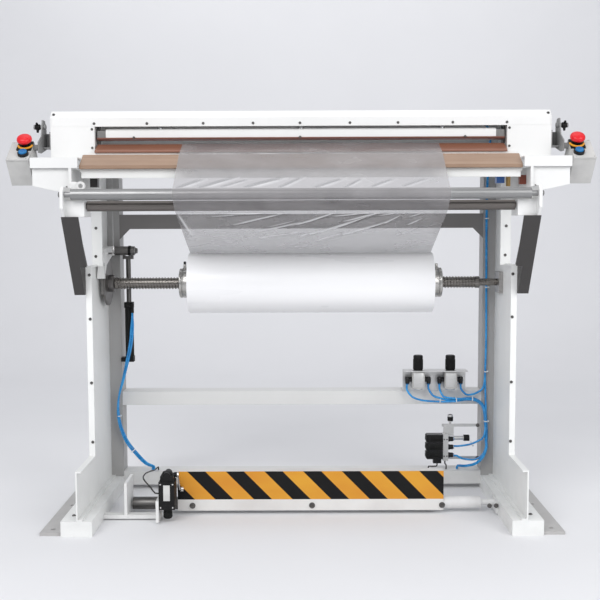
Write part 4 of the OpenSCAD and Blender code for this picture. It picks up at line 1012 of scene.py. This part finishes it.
def film_mesh():
    """The film as one sheet of rows along its path, with creases and slow waves."""
    cols = 240
    x0, x1 = FILM_LEFT, FILM_RIGHT
    bm = bmesh.new()
    crease_shading = bm.verts.layers.float.new("crease")
    rows = []
    for i, ((y, z), n, s, free, gap) in enumerate(path):
        row = []
        for k in range(cols + 1):
            x = x0 + (x1 - x0) * k / cols
            edge = min(1, min(x - x0, x1 - x) / 24)
            slow = 0.7 * math.sin(x / 61 + s / 47) + 0.5 * math.sin(x / 23 - s / 71 + 1.3)
            sharp = crease_height(x, s, i)
            h = free ** 0.6 * (sharp + slow * min(1, gap / 120))
            h *= 0.35 + 0.65 * edge
            v = bm.verts.new((x, y + n.x * h, z + n.y * h))
            # crease height kept for the material, which paints raised creases white as highlights
            # and sunk ones dark as shade
            v[crease_shading] = max(-1.0, min(1.0, sharp / 5.0))
            row.append(v)
        rows.append(row)
    for a, b in zip(rows, rows[1:]):
        for k in range(cols):
            bm.faces.new((a[k], a[k + 1], b[k + 1], b[k]))
    return bm


def film_material():
    """Thin cloudy polythene: see-through, with a soft gloss and fine ripples. Its mid grey is
    painted shade and dark reflection; raised creases are painted white as highlights, sunk ones
    dark as shade.
    """
    n = Nodes("film_clear")
    ripple = n.noise(9, (1, 1.4, 1.4), detail=3, rough=0.45, distort=0.3)
    fine = n.noise(140, (1, 1, 1), detail=3)
    sharp = n.node("ShaderNodeAttribute", output="Fac", attribute_name="crease")
    # Painted shade and dark reflection: the film's mid grey, varied with the ripples.
    base = n.mix(n.span(ripple, 0, 1), (0.30, 0.29, 0.295), (0.375, 0.362, 0.368))
    # Painted highlight: raised creases turn near white.
    base = n.mix(n.span(sharp, 0, 0.9, 0.05, 0.8), base, (0.86, 0.86, 0.87))
    # Painted shade: sunk creases turn dark.
    base = n.mix(n.span(sharp, 0.7, 0, -0.35, -0.02), base, (0.14, 0.135, 0.14))
    # More opaque on the ripples and on raised creases, where the painted highlight shows.
    cover = n.math("MAXIMUM", n.span(ripple, 0.58, 0.66), n.span(sharp, 0.0, 0.85, 0.0, 0.5))
    height = n.math("ADD", ripple, n.math("MULTIPLY", fine, 0.2))
    n.set(color=base, rough=n.span(ripple, 0.2, 0.28), alpha=cover, specular=0.6, coat=0.2,
          normal=n.bump(height, 0.04, 0.002))
    n.mat.use_transparency_overlap = True
    return n.mat


film = piece("film_sheet", film_mesh(), film_material(), "root",
             stands_for=("film_web",))


# --- lift eyelet at the left of the jaw ---

bm = bmesh.new()
lathe(bm, [(5.5, -3.5), (6.4, -4.6), (11, -4.6), (12.2, -3), (12.2, 3), (11, 4.6), (6.4, 4.6),
           (5.5, 3.5), (5.5, -3.5)], (-563, -149.6, 885), FRONT, seg=32)
block(bm, (-590, -153.4, 874), (-572, -146, 896), 3.0, 3)
piece("lift_eyelet", bm, bracket_white, "root")


# --- stage and light ---

def stage():
    """Pale floor that sweeps up into the backdrop, in metres."""
    bm = bmesh.new()
    rows = []
    front, bend, radius, top, steps = -4.0, 2.2, 1.2, 5.0, 12
    line = [(front, 0.0), (bend, 0.0)]
    for k in range(1, steps + 1):
        a = math.radians(90 * k / steps)
        line.append((bend + radius * math.sin(a), radius * (1 - math.cos(a))))
    line.append((bend + radius, top))
    for y, z in line:
        rows.append([bm.verts.new((x, y, z)) for x in (-6, 6)])
    for a, b in zip(rows, rows[1:]):
        bm.faces.new((a[0], a[1], b[1], b[0]))
    mesh = bpy.data.meshes.new("sweep_stage")
    bm.to_mesh(mesh)
    bm.free()
    mesh.shade_smooth()
    n = Nodes("stage_paper")
    n.set(color=n.mix(n.span(n.noise(2, detail=2), 0, 1), (0.80, 0.80, 0.815), (0.82, 0.82, 0.835)),
          rough=0.9)
    mesh.materials.append(n.mat)
    obj = bpy.data.objects.new("sweep_stage", mesh)
    bpy.context.scene.collection.objects.link(obj)


def area(name, at, to, size, power, tall=None):
    """A soft lamp at a place, pointing to another; square unless its height is given."""
    data = bpy.data.lights.new(name, "AREA")
    data.energy = power
    data.size = size
    if tall:
        data.shape = "RECTANGLE"
        data.size_y = tall
    obj = bpy.data.objects.new(name, data)
    obj.location = at
    obj.rotation_euler = (Vector(to) - Vector(at)).to_track_quat("-Z", "Y").to_euler()
    bpy.context.scene.collection.objects.link(obj)


stage()
area("key", (-1.6, -3.2, 3.0), (0, 0, 0.7), 2.4, 81)
area("fill", (2.4, -3.0, 2.2), (0, 0, 0.6), 2.4, 62)
area("top", (0, 0.2, 3.4), (0, 0, 0.5), 3.0, 17, 2.0)
area("back", (0, 2.6, 2.8), (0, 3.4, 1.0), 3.6, 8, 1.2)

world = bpy.data.worlds.new("studio")
bpy.context.scene.world = world
world.use_nodes = True
sky = world.node_tree.nodes["Background"]
sky.inputs["Color"].default_value = (0.93, 0.95, 1.0, 1)
sky.inputs["Strength"].default_value = 0.52
bpy.context.scene.view_settings.view_transform = "Standard"
